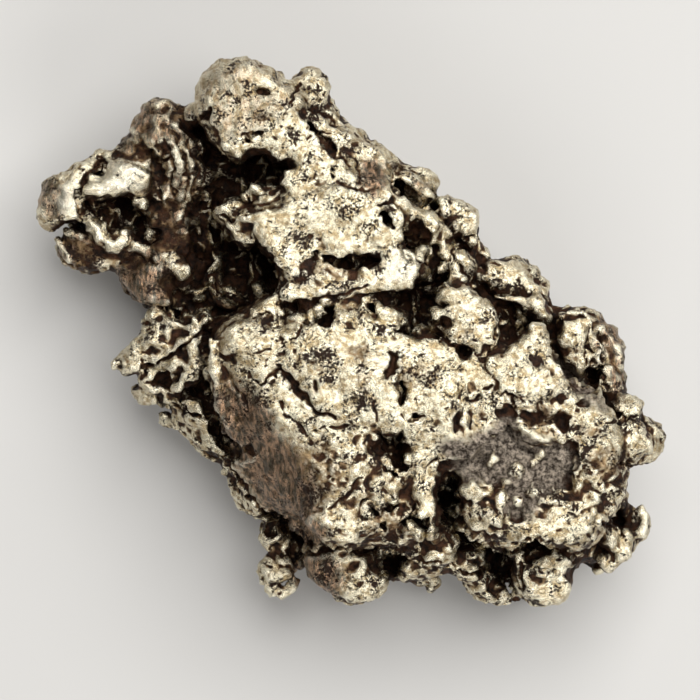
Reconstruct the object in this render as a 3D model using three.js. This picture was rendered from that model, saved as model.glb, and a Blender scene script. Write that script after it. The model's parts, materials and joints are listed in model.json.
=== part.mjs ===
// An individual iron meteorite, a flat twisted lump of coarse nickel-iron, lying on its back.
// Millimetres, +Z up. The origin is under the middle of its outline, on the surface it lies on.
// The form is a field of smoothly joined plates, lumps and bars, less hollows and slots, and it is
// skinned as one closed surface.

import * as THREE from "three";
import { ImprovedNoise } from "three/addons/math/ImprovedNoise.js";

// ---------------------------------------------------------------- driving dimensions
const LENGTH = 43.2;            // outline along X
const WIDTH = 38.0;             // outline along Y
const HEIGHT = 17.8;            // over the highest pad
const PLATE_TOP = 16.8;         // top of the broad main plate
const NECK_TOP = 16.2;          // top of the neck plate
const CROWN_TOP = 15.4;         // top of the plate at the narrow end
const CELL = 1.06;              // spacing of the skin's points
const WELD = 0.9;               // width of the fillet where two forms grow together
const LIP = 0.5;                // width of the rounding at the rim of a hollow
const COBBLE_SPACING = 3.3;     // spacing of the rounded lumps that cover the skin
const COBBLE_HEIGHT_TOP = 0.22; // their height on the worn plates, and below them
const COBBLE_HEIGHT_SIDES = 0.62;
const WORN_FROM = 10.5;         // the wear fades in between these two heights
const WORN_TO = 14.5;
const BUMP_SPACING = 4.6;       // spacing and height of the broad unevenness
const BUMP_HEIGHT = 0.5;
const COBBLE_CREST = 0.52;      // level of a cobble's crest that leaves the mean surface in place

// ---------------------------------------------------------------- forms, as signed distances
const TINY = 1e-6;

// A rounded ellipsoid with radii rx, ry, rz, turned about its own upright axis.
function lump(x, y, z, rx, ry, rz, turn = 0) {
  const cos = Math.cos(THREE.MathUtils.degToRad(turn));
  const sin = Math.sin(THREE.MathUtils.degToRad(turn));
  return (p) => {
    const dx = p.x - x;
    const dy = p.y - y;
    const u = (dx * cos + dy * sin) / rx;
    const v = (dy * cos - dx * sin) / ry;
    const w = (p.z - z) / rz;
    const reach = Math.hypot(u, v, w);
    const slope = Math.hypot(u / rx, v / ry, w / rz);
    return slope < TINY ? -Math.min(rx, ry, rz) : (reach * (reach - 1)) / slope;
  };
}

// A round bar through a list of points.
function bar(points, radius) {
  const knots = points.map(([x, y, z]) => new THREE.Vector3(x, y, z));
  const line = new THREE.Line3();
  const nearest = new THREE.Vector3();
  return (p) => {
    let distance = Infinity;
    for (let i = 1; i < knots.length; i += 1) {
      line.set(knots[i - 1], knots[i]);
      line.closestPointToPoint(p, true, nearest);
      distance = Math.min(distance, nearest.distanceTo(p));
    }
    return distance - radius;
  };
}

// Signed distance from a point to a closed outline, in plan.
function outlineDistance(outline, x, y) {
  let nearest = Infinity;
  let inside = false;
  for (let i = 0, j = outline.length - 1; i < outline.length; j = i, i += 1) {
    const [ax, ay] = outline[i];
    const [bx, by] = outline[j];
    const ex = bx - ax;
    const ey = by - ay;
    const along = THREE.MathUtils.clamp(((x - ax) * ex + (y - ay) * ey) / (ex * ex + ey * ey), 0, 1);
    nearest = Math.min(nearest, Math.hypot(x - ax - ex * along, y - ay - ey * along));
    if ((ay > y) !== (by > y) && x < ax + (ex * (y - ay)) / ey) {
      inside = !inside;
    }
  }
  return inside ? -nearest : nearest;
}

// A slab with the given outline from low to high, with its edges rounded. Each slope is a plane
// through a point with an outward normal, and takes off what lies beyond it.
function plate(outline, low, high, round, slopes = []) {
  const middle = (low + high) / 2;
  const half = (high - low) / 2;
  const planes = slopes.map(({ at, normal }) => {
    const plane = new THREE.Plane();
    return plane.setFromNormalAndCoplanarPoint(
      new THREE.Vector3(...normal).normalize(),
      new THREE.Vector3(...at),
    );
  });
  return (p) => {
    const side = outlineDistance(outline, p.x, p.y) + round;
    const rise = Math.abs(p.z - middle) - half + round;
    let distance = Math.min(Math.max(side, rise), 0) - round;
    distance += Math.hypot(Math.max(side, 0), Math.max(rise, 0));
    for (const plane of planes) {
      distance = softMax(distance, plane.distanceToPoint(p), WELD);
    }
    return distance;
  };
}

function softMin(a, b, width) {
  const overlap = Math.max(width - Math.abs(a - b), 0) / width;
  return Math.min(a, b) - (overlap * overlap * width) / 4;
}

function softMax(a, b, width) {
  return -softMin(-a, -b, width);
}

// ---------------------------------------------------------------- the broad end
const mainMass = plate([
  [-9.9, -0.1], [-6.0, 2.9], [-1.2, 3.4], [3.0, 3.8], [6.5, 5.0], [10.7, 4.6], [13.9, 2.0],
  [18.1, -0.1], [19.0, -3.2], [19.7, -6.0], [20.0, -7.6], [18.8, -9.5], [19.3, -13.5],
  [17.7, -15.8], [15.8, -16.2], [14.2, -18.1], [10.7, -18.1], [6.5, -16.7], [2.3, -17.4],
  [-1.9, -16.7], [-5.0, -14.8], [-8.6, -9.6], [-12.0, -5.7], [-14.2, -3.9], [-13.0, -1.1],
], 2.4, 11.0, 3.6);

const mainPlate = plate([
  [-9.3, -0.1], [-4.4, 3.2], [-0.1, 3.2], [3.0, 2.4], [6.5, 0.6], [10.7, -0.8], [14.2, -1.7],
  [17.0, -4.5], [19.5, -6.4], [20.0, -8.8], [18.6, -11.6], [17.2, -14.8], [12.1, -15.0],
  [8.6, -14.1], [3.7, -14.8], [-0.5, -14.8], [-4.3, -12.7], [-7.1, -10.2], [-8.8, -6.0],
], 6.0, PLATE_TOP, 2.6, [
  { at: [-3.9, -8.0, 16.4], normal: [-0.58, -0.36, 0.73] },
  { at: [-6.8, -1.5, 16.4], normal: [-0.42, 0.10, 0.90] },
  { at: [15.5, -9.5, 16.6], normal: [0.34, -0.06, 0.94] },
  { at: [6.0, -12.6, 16.2], normal: [0.02, -0.52, 0.85] },
]);

const broadEnd = [
  // Low swell of the main plate, and the popcorn-like lumps along its upper edge.
  lump(3.0, -5.2, 13.6, 9.5, 6.0, 3.9, -24),
  // Pads that stand slightly proud of the main plate, with grooves between them.
  lump(-6.4, -0.9, 15.6, 2.5, 1.3, 1.3, -8),
  lump(-1.2, -2.4, 16.2, 3.2, 2.4, 1.3, -12),
  lump(-0.6, -8.0, 16.0, 2.4, 3.2, 1.2, 10),
  lump(2.9, -4.9, 16.6, 1.0, 2.0, 1.0, -6),
  lump(6.3, -4.4, 16.5, 2.0, 2.6, 1.2, 15),
  lump(12.0, -3.8, 16.0, 3.0, 1.9, 1.3, -15),
  lump(17.0, -8.2, 15.6, 1.9, 3.2, 1.3, 5),
  lump(14.2, -13.4, 15.9, 3.4, 1.2, 1.2, 4),
  lump(5.1, -12.2, 15.9, 1.0, 2.3, 1.2, 6),
  lump(-1.2, -12.9, 15.8, 2.8, 1.4, 1.2, -10),
  lump(9.9, -11.4, 16.2, 1.5, 2.2, 1.1, 8),
  lump(8.4, 1.1, 14.6, 2.2, 2.1, 1.9),
  lump(3.2, 1.1, 14.9, 1.3, 0.75, 1.1, 10),
  lump(6.3, 1.4, 14.6, 0.6, 0.6, 0.9),
  // Knobs round the right end, from the top downwards.
  lump(11.4, 3.9, 8.8, 1.7, 1.5, 2.2, -35),
  lump(12.5, 2.8, 9.2, 1.5, 1.3, 2.0, -35),
  lump(15.8, 0.6, 8.0, 1.5, 1.3, 1.8),
  lump(15.6, -0.9, 11.0, 1.0, 1.7, 2.0, -8),
  lump(17.3, -0.8, 10.2, 0.9, 1.8, 1.9, -10),
  lump(18.3, -1.6, 9.6, 1.1, 2.0, 2.2, -14),
  lump(18.7, -4.3, 10.2, 1.15, 1.8, 2.0, -12),
  lump(20.1, -7.3, 11.2, 1.75, 1.75, 1.8),
  lump(18.6, -10.8, 9.0, 1.0, 1.5, 2.0),
  lump(20.2, -13.2, 7.2, 1.15, 1.4, 1.5, -20),
  lump(18.4, -15.3, 7.2, 1.35, 1.5, 1.6),
  // Lobes along the lower edge, from right to left.
  lump(13.9, -17.0, 8.4, 1.95, 1.9, 2.8, 20),
  lump(10.7, -17.4, 6.2, 1.8, 1.4, 2.0, -14),
  lump(8.1, -15.7, 9.2, 1.1, 0.85, 1.1),
  lump(5.5, -15.0, 10.8, 1.9, 1.2, 1.5, -10),
  lump(4.8, -16.4, 9.0, 1.2, 0.9, 1.2),
  lump(5.9, -17.2, 6.0, 0.85, 0.8, 1.1),
  lump(2.4, -16.9, 8.0, 0.7, 0.65, 0.8),
  lump(0.0, -16.8, 7.2, 2.9, 1.9, 2.8, -8),
  // Small open cup hanging from the lower edge, and the lump over it.
  lump(-4.6, -16.9, 4.8, 1.75, 1.3, 1.7, -10),
  lump(-4.0, -15.8, 4.6, 1.4, 1.5, 1.6),
  lump(-5.2, -14.4, 7.0, 1.0, 1.2, 1.4),
];

// ---------------------------------------------------------------- the left flank and its ledges
const leftFlank = [
  lump(-6.4, -11.8, 6.8, 1.1, 1.1, 1.8),
  lump(-8.2, -9.9, 6.6, 1.1, 1.2, 1.8),
  lump(-9.8, -7.2, 6.6, 1.2, 1.2, 1.9),
  lump(-11.4, -5.6, 6.2, 1.2, 1.1, 1.8),
  lump(-13.8, -4.1, 6.0, 1.6, 1.4, 2.0, -30),
  lump(-12.6, -2.6, 7.6, 1.8, 1.1, 1.6, 18),
  bar([[-16.3, -1.8, 7.8], [-13.8, -0.9, 8.8], [-9.9, 0.8, 11.2]], 0.95),
  lump(-11.0, 0.6, 9.2, 1.7, 1.0, 1.4, 20),
  bar([[-10.8, -0.2, 11.4], [-10.5, -3.2, 9.6]], 0.55),
  lump(-14.1, 0.8, 6.8, 0.75, 0.75, 1.0),
  lump(-13.0, 1.0, 7.0, 0.85, 0.8, 1.2),
];

// ---------------------------------------------------------------- the neck
const neckMass = plate([
  [-9.0, 9.9], [-4.0, 12.7], [1.6, 12.7], [6.3, 8.7], [9.0, 5.9], [10.5, 3.1], [6.5, -0.1],
  [-3.3, -0.1], [-8.3, 0.6], [-8.4, 5.2],
], 2.4, 10.6, 3.2);

const neckPlate = plate([
  [-8.5, 8.2], [-6.0, 9.3], [-3.3, 9.8], [0.2, 11.2], [3.4, 10.0], [6.3, 7.2], [5.5, 4.1],
  [1.6, 3.1], [-4.0, 2.9], [-6.2, 5.6],
], 5.0, NECK_TOP, 1.9, [
  { at: [2.6, 8.4, 16.0], normal: [0.42, 0.36, 0.83] },
  { at: [-6.4, 7.6, 15.4], normal: [-0.50, 0.30, 0.80] },
]);

const neck = [
  // Lumps along the right rim of the neck.
  lump(-0.5, 13.3, 11.0, 1.35, 1.35, 2.2),
  lump(1.8, 11.5, 11.6, 1.8, 1.8, 2.4, -35),
  lump(4.7, 9.9, 10.4, 1.5, 1.7, 2.0),
  lump(7.5, 8.1, 9.6, 1.6, 1.7, 2.1),
  lump(8.5, 6.1, 8.6, 1.05, 1.05, 2.0),
  lump(6.4, 5.0, 12.2, 1.0, 1.2, 1.4),
  lump(8.0, 4.6, 12.0, 0.95, 1.3, 1.6),
  // The lump at the foot of the neck and the raised rim beside it.
  lump(3.6, 4.7, 14.4, 1.75, 1.5, 1.9),
  bar([[2.6, 9.7, 15.2], [4.8, 8.1, 14.6], [6.2, 7.5, 13.6]], 0.5),
];

// ---------------------------------------------------------------- the crown, at the narrow end
const crownPlate = plate([
  [-10.3, 16.7], [-9.4, 18.4], [-7.1, 19.2], [-5.0, 18.5], [-3.3, 16.9], [-0.3, 13.7],
  [1.1, 11.7], [-2.4, 10.6], [-3.6, 12.0], [-7.5, 12.9], [-9.6, 14.0],
], 6.4, CROWN_TOP, 2.0, [
  { at: [-2.2, 14.6, 15.0], normal: [0.45, 0.30, 0.84] },
]);

const crown = [
  lump(-7.6, 16.6, 12.6, 2.9, 2.5, 2.9),
  bar([[-8.0, 15.0, 13.8], [-7.6, 13.0, 13.6]], 1.1),
  lump(-10.8, 15.6, 10.4, 0.95, 0.95, 1.3),
  lump(-2.6, 16.9, 12.0, 1.55, 1.55, 1.7),
  lump(-1.8, 15.2, 11.0, 1.1, 1.1, 1.8),
];

// ---------------------------------------------------------------- the arm, low on the left
const armMass = plate([
  [-19.6, 9.0], [-17.4, 10.7], [-14.6, 13.7], [-13.1, 15.4], [-11.2, 14.8], [-9.5, 11.8],
  [-8.3, 9.4], [-8.2, 5.2], [-9.9, 1.9], [-13.8, 1.9], [-15.8, 4.5], [-18.6, 5.6],
], 3.4, 9.2, 2.6);

const arm = [
  lump(-20.1, 9.2, 8.6, 1.8, 1.75, 1.8),
  lump(-18.5, 10.4, 9.0, 1.4, 1.4, 1.5),
  lump(-15.2, 10.9, 9.8, 1.5, 1.3, 1.5),
  bar([[-18.4, 10.3, 9.9], [-15.4, 11.0, 10.6]], 0.6),
  lump(-16.9, 12.2, 8.4, 0.95, 0.9, 1.0),
  lump(-17.4, 11.3, 8.4, 1.0, 1.0, 1.3),
  lump(-14.1, 14.0, 8.6, 1.45, 1.4, 1.7),
  lump(-13.0, 14.7, 9.2, 1.4, 1.6, 2.0),
  lump(-12.1, 14.2, 9.0, 1.2, 1.2, 1.8),
  // Folds running down the upper arm.
  bar([[-13.5, 14.6, 10.6], [-12.6, 12.4, 10.8], [-11.6, 9.6, 10.0]], 0.6),
  bar([[-11.6, 14.2, 10.4], [-10.8, 12.2, 10.6], [-10.2, 9.8, 9.8]], 0.55),
  // The rim round the arm's hollow, and the knobs on its lower side.
  bar([[-19.0, 8.6, 9.0], [-17.8, 7.4, 9.0], [-16.6, 5.9, 8.8], [-15.6, 6.9, 8.8]], 0.55),
  lump(-18.8, 6.1, 7.2, 1.1, 1.1, 1.6),
  lump(-17.5, 5.7, 7.4, 1.0, 0.95, 1.5),
  lump(-14.1, 3.9, 7.8, 1.9, 1.9, 2.4, -30),
  bar([[-14.6, 8.8, 9.8], [-13.6, 7.6, 9.6]], 0.5),
];

// ---------------------------------------------------------------- the underside
// Broad swells. The four that carry the stone reach below the plane it lies on and are cut flat by it.
const underside = [
  lump(-3.8, -1.6, 4.2, 5.0, 4.2, 4.6, 20),
  lump(-0.8, -12.2, 4.0, 4.2, 3.4, 4.5, -15),
  lump(3.6, -11.0, 3.6, 3.0, 3.2, 3.7, 10),
  lump(14.2, -8.6, 3.7, 3.8, 4.0, 4.6, 30),
  lump(12.4, -4.8, 3.4, 3.2, 3.4, 3.7),
  lump(4.8, 5.0, 4.2, 4.4, 3.8, 4.6, -30),
  lump(0.8, 8.6, 4.2, 3.2, 2.8, 4.0, -20),
  lump(-6.8, -6.0, 5.2, 4.2, 3.4, 4.2, -40),
  lump(8.4, -12.0, 5.4, 4.2, 3.4, 4.2),
  lump(13.0, -1.6, 5.8, 4.0, 3.6, 4.0, -30),
  lump(5.6, -3.6, 5.4, 5.0, 4.2, 4.2, -20),
  lump(-3.6, 7.2, 5.6, 4.4, 4.4, 4.4),
  lump(-4.6, 13.0, 7.4, 3.9, 3.6, 4.4, -40),
  lump(-7.8, 15.6, 9.0, 2.4, 2.5, 3.4),
  lump(-12.6, 9.6, 6.2, 3.8, 3.8, 3.6),
  lump(-17.4, 8.0, 6.4, 2.2, 2.2, 2.4),
  lump(-9.4, 12.6, 5.6, 2.2, 3.2, 2.4, 30),
  lump(-9.6, 1.8, 5.4, 2.4, 2.4, 2.6),
  lump(-11.8, 1.4, 5.6, 2.2, 1.5, 2.2),
];

// ---------------------------------------------------------------- hollows and slots
const hollows = [
  // In the arm: the basin under its rim, and the brown facet below it.
  lump(-16.0, 8.5, 10.2, 2.1, 1.25, 3.4, -12),
  // The valley between the arm and the neck.
  lump(-9.6, 6.4, 11.0, 1.9, 3.6, 4.6, 18),
  lump(-11.0, 3.8, 11.0, 2.4, 1.6, 3.6, 20),
  lump(-7.6, 3.2, 12.4, 1.3, 2.0, 4.4, 20),
  // The cave under the crown, and its mouth.
  lump(-6.1, 11.4, 11.0, 2.6, 1.8, 2.8, -8),
  lump(-5.9, 11.0, 14.0, 2.3, 1.2, 3.2, -8),
  lump(-8.6, 10.6, 13.0, 1.4, 1.5, 3.2),
  // The slot down the right side of the crown.
  bar([[-3.6, 15.4, 15.4], [-1.5, 13.5, 15.0], [0.2, 11.6, 15.2]], 0.75),
  // Between the lumps of the neck's right rim.
  lump(2.9, 8.1, 15.8, 0.9, 0.85, 2.6),
  lump(5.3, 7.0, 14.2, 1.5, 0.9, 3.0, -20),
  lump(6.2, 9.2, 12.2, 0.8, 1.0, 2.4),
  lump(2.9, 10.9, 13.4, 0.6, 0.8, 2.2, -35),
  // Above the main plate: the dark hollow, the slit, the three-cornered pit and the slot.
  lump(4.9, 2.2, 15.6, 2.3, 1.3, 3.6, -18),
  bar([[-2.6, 5.8, 16.2], [-0.2, 5.0, 16.0], [1.9, 5.3, 15.6]], 0.7),
  bar([[-4.7, 1.2, 16.4], [-2.6, 1.4, 16.6], [-0.7, 2.2, 16.6]], 0.8),
  lump(11.6, 0.8, 13.2, 1.25, 1.4, 3.6),
  lump(9.4, 3.4, 13.4, 1.0, 1.0, 2.4),
  // In the main plate: the notch, the deep hole and the basin with the grey patch.
  lump(3.1, -7.7, 17.0, 1.5, 1.1, 2.6, -15),
  lump(7.0, -11.6, 15.0, 1.05, 2.1, 10.6, 6),
  lump(12.3, -9.4, 17.6, 4.2, 2.0, 1.9, -8),
  lump(3.9, -11.8, 17.0, 1.2, 1.0, 1.7),
  // The groove that parts the right-hand knobs from the plate.
  bar([[13.9, 1.6, 11.6], [14.4, -0.8, 13.4], [15.1, -2.7, 14.2], [16.3, -3.9, 14.2]], 0.85),
  bar([[16.3, -3.9, 14.2], [17.8, -4.7, 13.2]], 0.7),
  lump(17.4, -2.6, 12.4, 0.6, 0.7, 1.8),
  // Gaps along the lower edge, and the insides of the cup and of the ring beside it.
  bar([[7.6, -14.2, 12.2], [8.6, -15.0, 11.0], [10.4, -15.8, 9.8]], 0.9),
  lump(11.0, -15.8, 10.6, 1.2, 1.3, 2.8, 20),
  bar([[1.6, -15.0, 11.4], [3.6, -15.4, 10.6]], 0.7),
  lump(-4.6, -17.0, 6.6, 0.9, 0.55, 1.5, -10),
  lump(20.2, -13.1, 9.0, 0.45, 0.7, 1.3, -20),
  lump(16.6, -15.4, 10.6, 1.2, 0.8, 1.8),
  // Under the ledges of the left flank.
  bar([[-14.6, -2.2, 8.8], [-11.6, -1.4, 9.6]], 0.5),
  lump(-12.8, -3.2, 9.2, 1.2, 0.7, 1.2, 15),
  // Thumbprints on the underside and the flanks.
  lump(5.0, -8.2, 0.2, 3.4, 2.6, 2.4, 30),
  lump(-1.6, -6.6, 0.0, 2.4, 2.8, 2.0),
  lump(9.6, 1.4, 1.0, 3.0, 2.2, 2.2, -30),
  lump(0.6, 1.6, 0.2, 2.0, 1.8, 1.8),
  lump(-6.6, 3.6, 1.4, 3.0, 2.4, 2.2, 40),
  lump(-8.4, 11.6, 3.2, 2.2, 2.6, 2.2, -30),
  lump(-14.6, 6.2, 3.0, 2.4, 1.8, 1.7, 20),
  lump(15.4, -14.0, 2.6, 2.6, 2.0, 2.0, 20),
  lump(-12.4, -3.6, 2.4, 2.0, 2.2, 1.6, 30),
];

// Islands left standing in the hollows.
const islands = [
  bar([[-9.3, 11.4, 8.4], [-9.6, 9.6, 8.2]], 0.5),
  lump(-7.4, 9.8, 12.2, 1.0, 0.9, 1.6),
  lump(-8.2, 3.4, 8.8, 0.7, 0.6, 1.0),
];

// ---------------------------------------------------------------- the field
const noise = new ImprovedNoise();

function unevenness(p, spacing) {
  return noise.noise(p.x / spacing + 11.3, p.y / spacing - 11.3, p.z / spacing + 11.3);
}

const grown = [
  mainMass, mainPlate, neckMass, neckPlate, crownPlate, armMass,
  ...broadEnd, ...leftFlank, ...neck, ...crown, ...arm, ...underside,
];

// A repeatable scatter of one seed in each cube of a grid, from 0 to 1 along each axis.
function seed(i, j, k, axis) {
  const wave = Math.sin(i * 127.1 + j * 311.7 + k * 74.7 + axis * 183.3) * 43758.5453;
  return wave - Math.floor(wave);
}

// Rounded lumps with creases between them: high on a seed, about 0 on average.
function cobbles(p) {
  const home = p.clone().divideScalar(COBBLE_SPACING);
  const cube = home.clone().floor();
  let nearest = Infinity;
  for (let n = 0; n < 27; n += 1) {
    const i = cube.x + (n % 3) - 1;
    const j = cube.y + (Math.floor(n / 3) % 3) - 1;
    const k = cube.z + Math.floor(n / 9) - 1;
    const spot = new THREE.Vector3(i + seed(i, j, k, 1), j + seed(i, j, k, 2), k + seed(i, j, k, 3));
    nearest = Math.min(nearest, spot.distanceTo(home));
  }
  return COBBLE_CREST - 2 * nearest * nearest;
}

function field(p) {
  let distance = Infinity;
  for (const form of grown) {
    const next = form(p);
    distance = distance === Infinity ? next : softMin(distance, next, WELD);
  }
  for (const hollow of hollows) {
    distance = softMax(distance, -hollow(p), LIP);
  }
  for (const island of islands) {
    distance = softMin(distance, island(p), LIP);
  }
  const worn = THREE.MathUtils.smoothstep(p.z, WORN_FROM, WORN_TO);
  const cobbleHeight = THREE.MathUtils.lerp(COBBLE_HEIGHT_SIDES, COBBLE_HEIGHT_TOP, worn);
  distance += BUMP_HEIGHT * (1 - 0.5 * worn) * unevenness(p, BUMP_SPACING);
  return distance - cobbleHeight * cobbles(p);
}

// ---------------------------------------------------------------- the skin
// The field is sampled on a lattice. One point is put in each cell that the surface crosses, and the
// four cells round each crossed lattice edge are joined by two triangles.
const MARGIN = 2;
const CELL_EDGE = 0.1;          // share of a cell that its point keeps clear of each wall
const MENDED = 0.25 * CELL;     // depth given to a node that is filled, or height to one emptied
const SETTLING_PASSES = 3;
const SLOPE_STEP = 0.05;        // spacing of the samples that give the field's slope
const LEAST_SLOPE = 0.2;
const COUNTS = [LENGTH, WIDTH, HEIGHT].map((size) => Math.ceil(size / CELL) + 2 * MARGIN + 1);
const START = new THREE.Vector3(
  (-(COUNTS[0] - 1) * CELL) / 2,
  (-(COUNTS[1] - 1) * CELL) / 2,
  -(MARGIN - 0.5) * CELL,
);
const STEPS = [1, COUNTS[0], COUNTS[0] * COUNTS[1]];
const CORNERS = [0, 1, 2, 3, 4, 5, 6, 7].map(
  (corner) => (corner & 1) * STEPS[0] + ((corner >> 1) & 1) * STEPS[1] + (corner >> 2) * STEPS[2],
);

function latticePoint(node) {
  const i = node % COUNTS[0];
  const j = Math.floor(node / COUNTS[0]) % COUNTS[1];
  const k = Math.floor(node / STEPS[2]);
  return new THREE.Vector3(i, j, k).multiplyScalar(CELL).add(START);
}

// Visits the first node of every cell.
function eachCell(visit) {
  for (let k = 0; k < COUNTS[2] - 1; k += 1) {
    for (let j = 0; j < COUNTS[1] - 1; j += 1) {
      for (let i = 0; i < COUNTS[0] - 1; i += 1) {
        visit(i * STEPS[0] + j * STEPS[1] + k * STEPS[2]);
      }
    }
  }
}

// Marks every node that can be reached from the seed through nodes of the same side.
function flood(values, seed, inside) {
  const reached = new Uint8Array(values.length);
  const waiting = [seed];
  reached[seed] = 1;
  while (waiting.length > 0) {
    const node = waiting.pop();
    for (const step of STEPS) {
      for (const next of [node - step, node + step]) {
        if (next >= 0 && next < values.length && !reached[next] && values[next] < 0 === inside) {
          reached[next] = 1;
          waiting.push(next);
        }
      }
    }
  }
  return reached;
}

// True when the corners on one side of the surface don't all hang together along the cell's edges.
function parted(values, cell, inside) {
  const same = [0, 1, 2, 3, 4, 5, 6, 7].filter((c) => values[cell + CORNERS[c]] < 0 === inside);
  if (same.length < 2) {
    return false;
  }
  const joined = new Set([same[0]]);
  for (let pass = 0; pass < same.length; pass += 1) {
    for (const c of same) {
      if ([1, 2, 4].some((bit) => joined.has(c ^ bit))) {
        joined.add(c);
      }
    }
  }
  return joined.size < same.length;
}

// True when a face of the cell has its two inside corners on a diagonal.
function crossed(values, cell) {
  const faces = [[0, 1, 3, 2], [4, 5, 7, 6], [0, 1, 5, 4], [2, 3, 7, 6], [0, 2, 6, 4], [1, 3, 7, 5]];
  return faces.some((face) => {
    const [a, b, c, d] = face.map((corner) => values[cell + CORNERS[corner]] < 0);
    return a === c && b === d && a !== b;
  });
}

// Fills corners until the surface passes each cell in one sheet, then fills sealed bubbles and drops
// loose crumbs.
function makeSound(values) {
  let changed = true;
  while (changed) {
    changed = false;
    eachCell((cell) => {
      if (crossed(values, cell) || parted(values, cell, true) || parted(values, cell, false)) {
        const open = CORNERS.map((corner) => cell + corner).filter((node) => values[node] >= 0);
        open.sort((a, b) => values[a] - values[b]);
        values[open[0]] = -MENDED;
        changed = true;
      }
    });
  }
  const outside = flood(values, 0, false);
  const heart = values.indexOf(Math.min(...values));
  const body = flood(values, heart, true);
  for (let node = 0; node < values.length; node += 1) {
    if (values[node] >= 0 && !outside[node]) {
      values[node] = -MENDED;
    } else if (values[node] < 0 && !body[node]) {
      values[node] = MENDED;
    }
  }
}

// Draws the skin's points towards the middle of their neighbours and back onto the surface, each
// inside its own cell.
function settle(positions, cells, triangles) {
  const neighbours = cells.map(() => new Set());
  for (let t = 0; t < triangles.length; t += 3) {
    const [a, b, c] = triangles.slice(t, t + 3);
    neighbours[a].add(b).add(c);
    neighbours[b].add(a).add(c);
    neighbours[c].add(a).add(b);
  }
  for (let pass = 0; pass < SETTLING_PASSES; pass += 1) {
    const points = cells.map((cell, n) => new THREE.Vector3().fromArray(positions, 3 * n));
    points.forEach((point, n) => {
      const target = new THREE.Vector3();
      neighbours[n].forEach((other) => target.add(points[other]));
      target.divideScalar(neighbours[n].size).lerp(point, 0.5);
      const slope = new THREE.Vector3();
      for (const axis of ["x", "y", "z"]) {
        const ahead = target.clone();
        const behind = target.clone();
        ahead[axis] += SLOPE_STEP;
        behind[axis] -= SLOPE_STEP;
        slope[axis] = (field(ahead) - field(behind)) / (2 * SLOPE_STEP);
      }
      target.addScaledVector(slope, -field(target) / Math.max(slope.lengthSq(), LEAST_SLOPE));
      const low = latticePoint(cells[n]).addScalar(CELL_EDGE * CELL);
      const high = latticePoint(cells[n]).addScalar((1 - CELL_EDGE) * CELL);
      target.clamp(low, high);
      target.z = Math.max(target.z, 0);
      target.toArray(positions, 3 * n);
    });
  }
}

// The skin's point in a cell: the mean of where its edges cross the surface, kept off the cell's
// walls. What would lie under the resting plane is pressed flat onto it.
function skinPoint(values, cell) {
  const sum = new THREE.Vector3();
  let crossings = 0;
  for (let corner = 0; corner < 8; corner += 1) {
    for (const bit of [1, 2, 4]) {
      const here = values[cell + CORNERS[corner]];
      const there = values[cell + CORNERS[corner | bit]];
      if ((corner & bit) === 0 && here < 0 !== there < 0) {
        const from = new THREE.Vector3(corner & 1, (corner >> 1) & 1, corner >> 2);
        const to = new THREE.Vector3((corner | bit) & 1, ((corner | bit) >> 1) & 1, (corner | bit) >> 2);
        sum.add(from.lerp(to, here / (here - there)));
        crossings += 1;
      }
    }
  }
  if (crossings === 0) {
    return null;
  }
  sum.divideScalar(crossings).clampScalar(CELL_EDGE, 1 - CELL_EDGE);
  sum.multiplyScalar(CELL).add(latticePoint(cell));
  sum.z = Math.max(sum.z, 0);
  return sum;
}

function skin() {
  const values = new Float64Array(COUNTS[0] * COUNTS[1] * COUNTS[2]);
  for (let node = 0; node < values.length; node += 1) {
    values[node] = field(latticePoint(node));
  }
  makeSound(values);
  const numbers = new Map();
  const positions = [];
  eachCell((cell) => {
    const point = skinPoint(values, cell);
    if (point) {
      numbers.set(cell, positions.length / 3);
      positions.push(point.x, point.y, point.z);
    }
  });
  const span = (a, b) => Math.hypot(
    positions[3 * a] - positions[3 * b],
    positions[3 * a + 1] - positions[3 * b + 1],
    positions[3 * a + 2] - positions[3 * b + 2],
  );
  const triangles = [];
  for (let node = 0; node < values.length; node += 1) {
    for (let axis = 0; axis < 3; axis += 1) {
      const side = STEPS[(axis + 1) % 3];
      const up = STEPS[(axis + 2) % 3];
      const next = node + STEPS[axis];
      if (next < values.length && values[node] < 0 !== values[next] < 0) {
        const round = [node - side - up, node - up, node, node - side].map((cell) => numbers.get(cell));
        const [a, b, c, d] = values[node] < 0 ? round : round.reverse();
        if (span(a, c) < span(b, d)) {
          triangles.push(a, b, c, a, c, d);
        } else {
          triangles.push(b, c, d, b, d, a);
        }
      }
    }
  }
  settle(positions, [...numbers.keys()], triangles);
  const geometry = new THREE.BufferGeometry();
  geometry.setAttribute("position", new THREE.Float32BufferAttribute(positions, 3));
  geometry.setIndex(triangles);
  return geometry;
}

// ---------------------------------------------------------------- the part
const stone = skin();
stone.computeBoundingBox();
const middle = stone.boundingBox.getCenter(new THREE.Vector3());
stone.translate(-middle.x, -middle.y, 0);
stone.computeVertexNormals();

const meteoricIron = new THREE.MeshStandardMaterial({
  color: 0xb9ad94,
  roughness: 0.38,
  metalness: 0.95,
});

const meteorite = new THREE.Mesh(stone, meteoricIron);
meteorite.name = "meteorite";

const part = new THREE.Group();
part.add(meteorite);

export default part;
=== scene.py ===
import math

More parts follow.
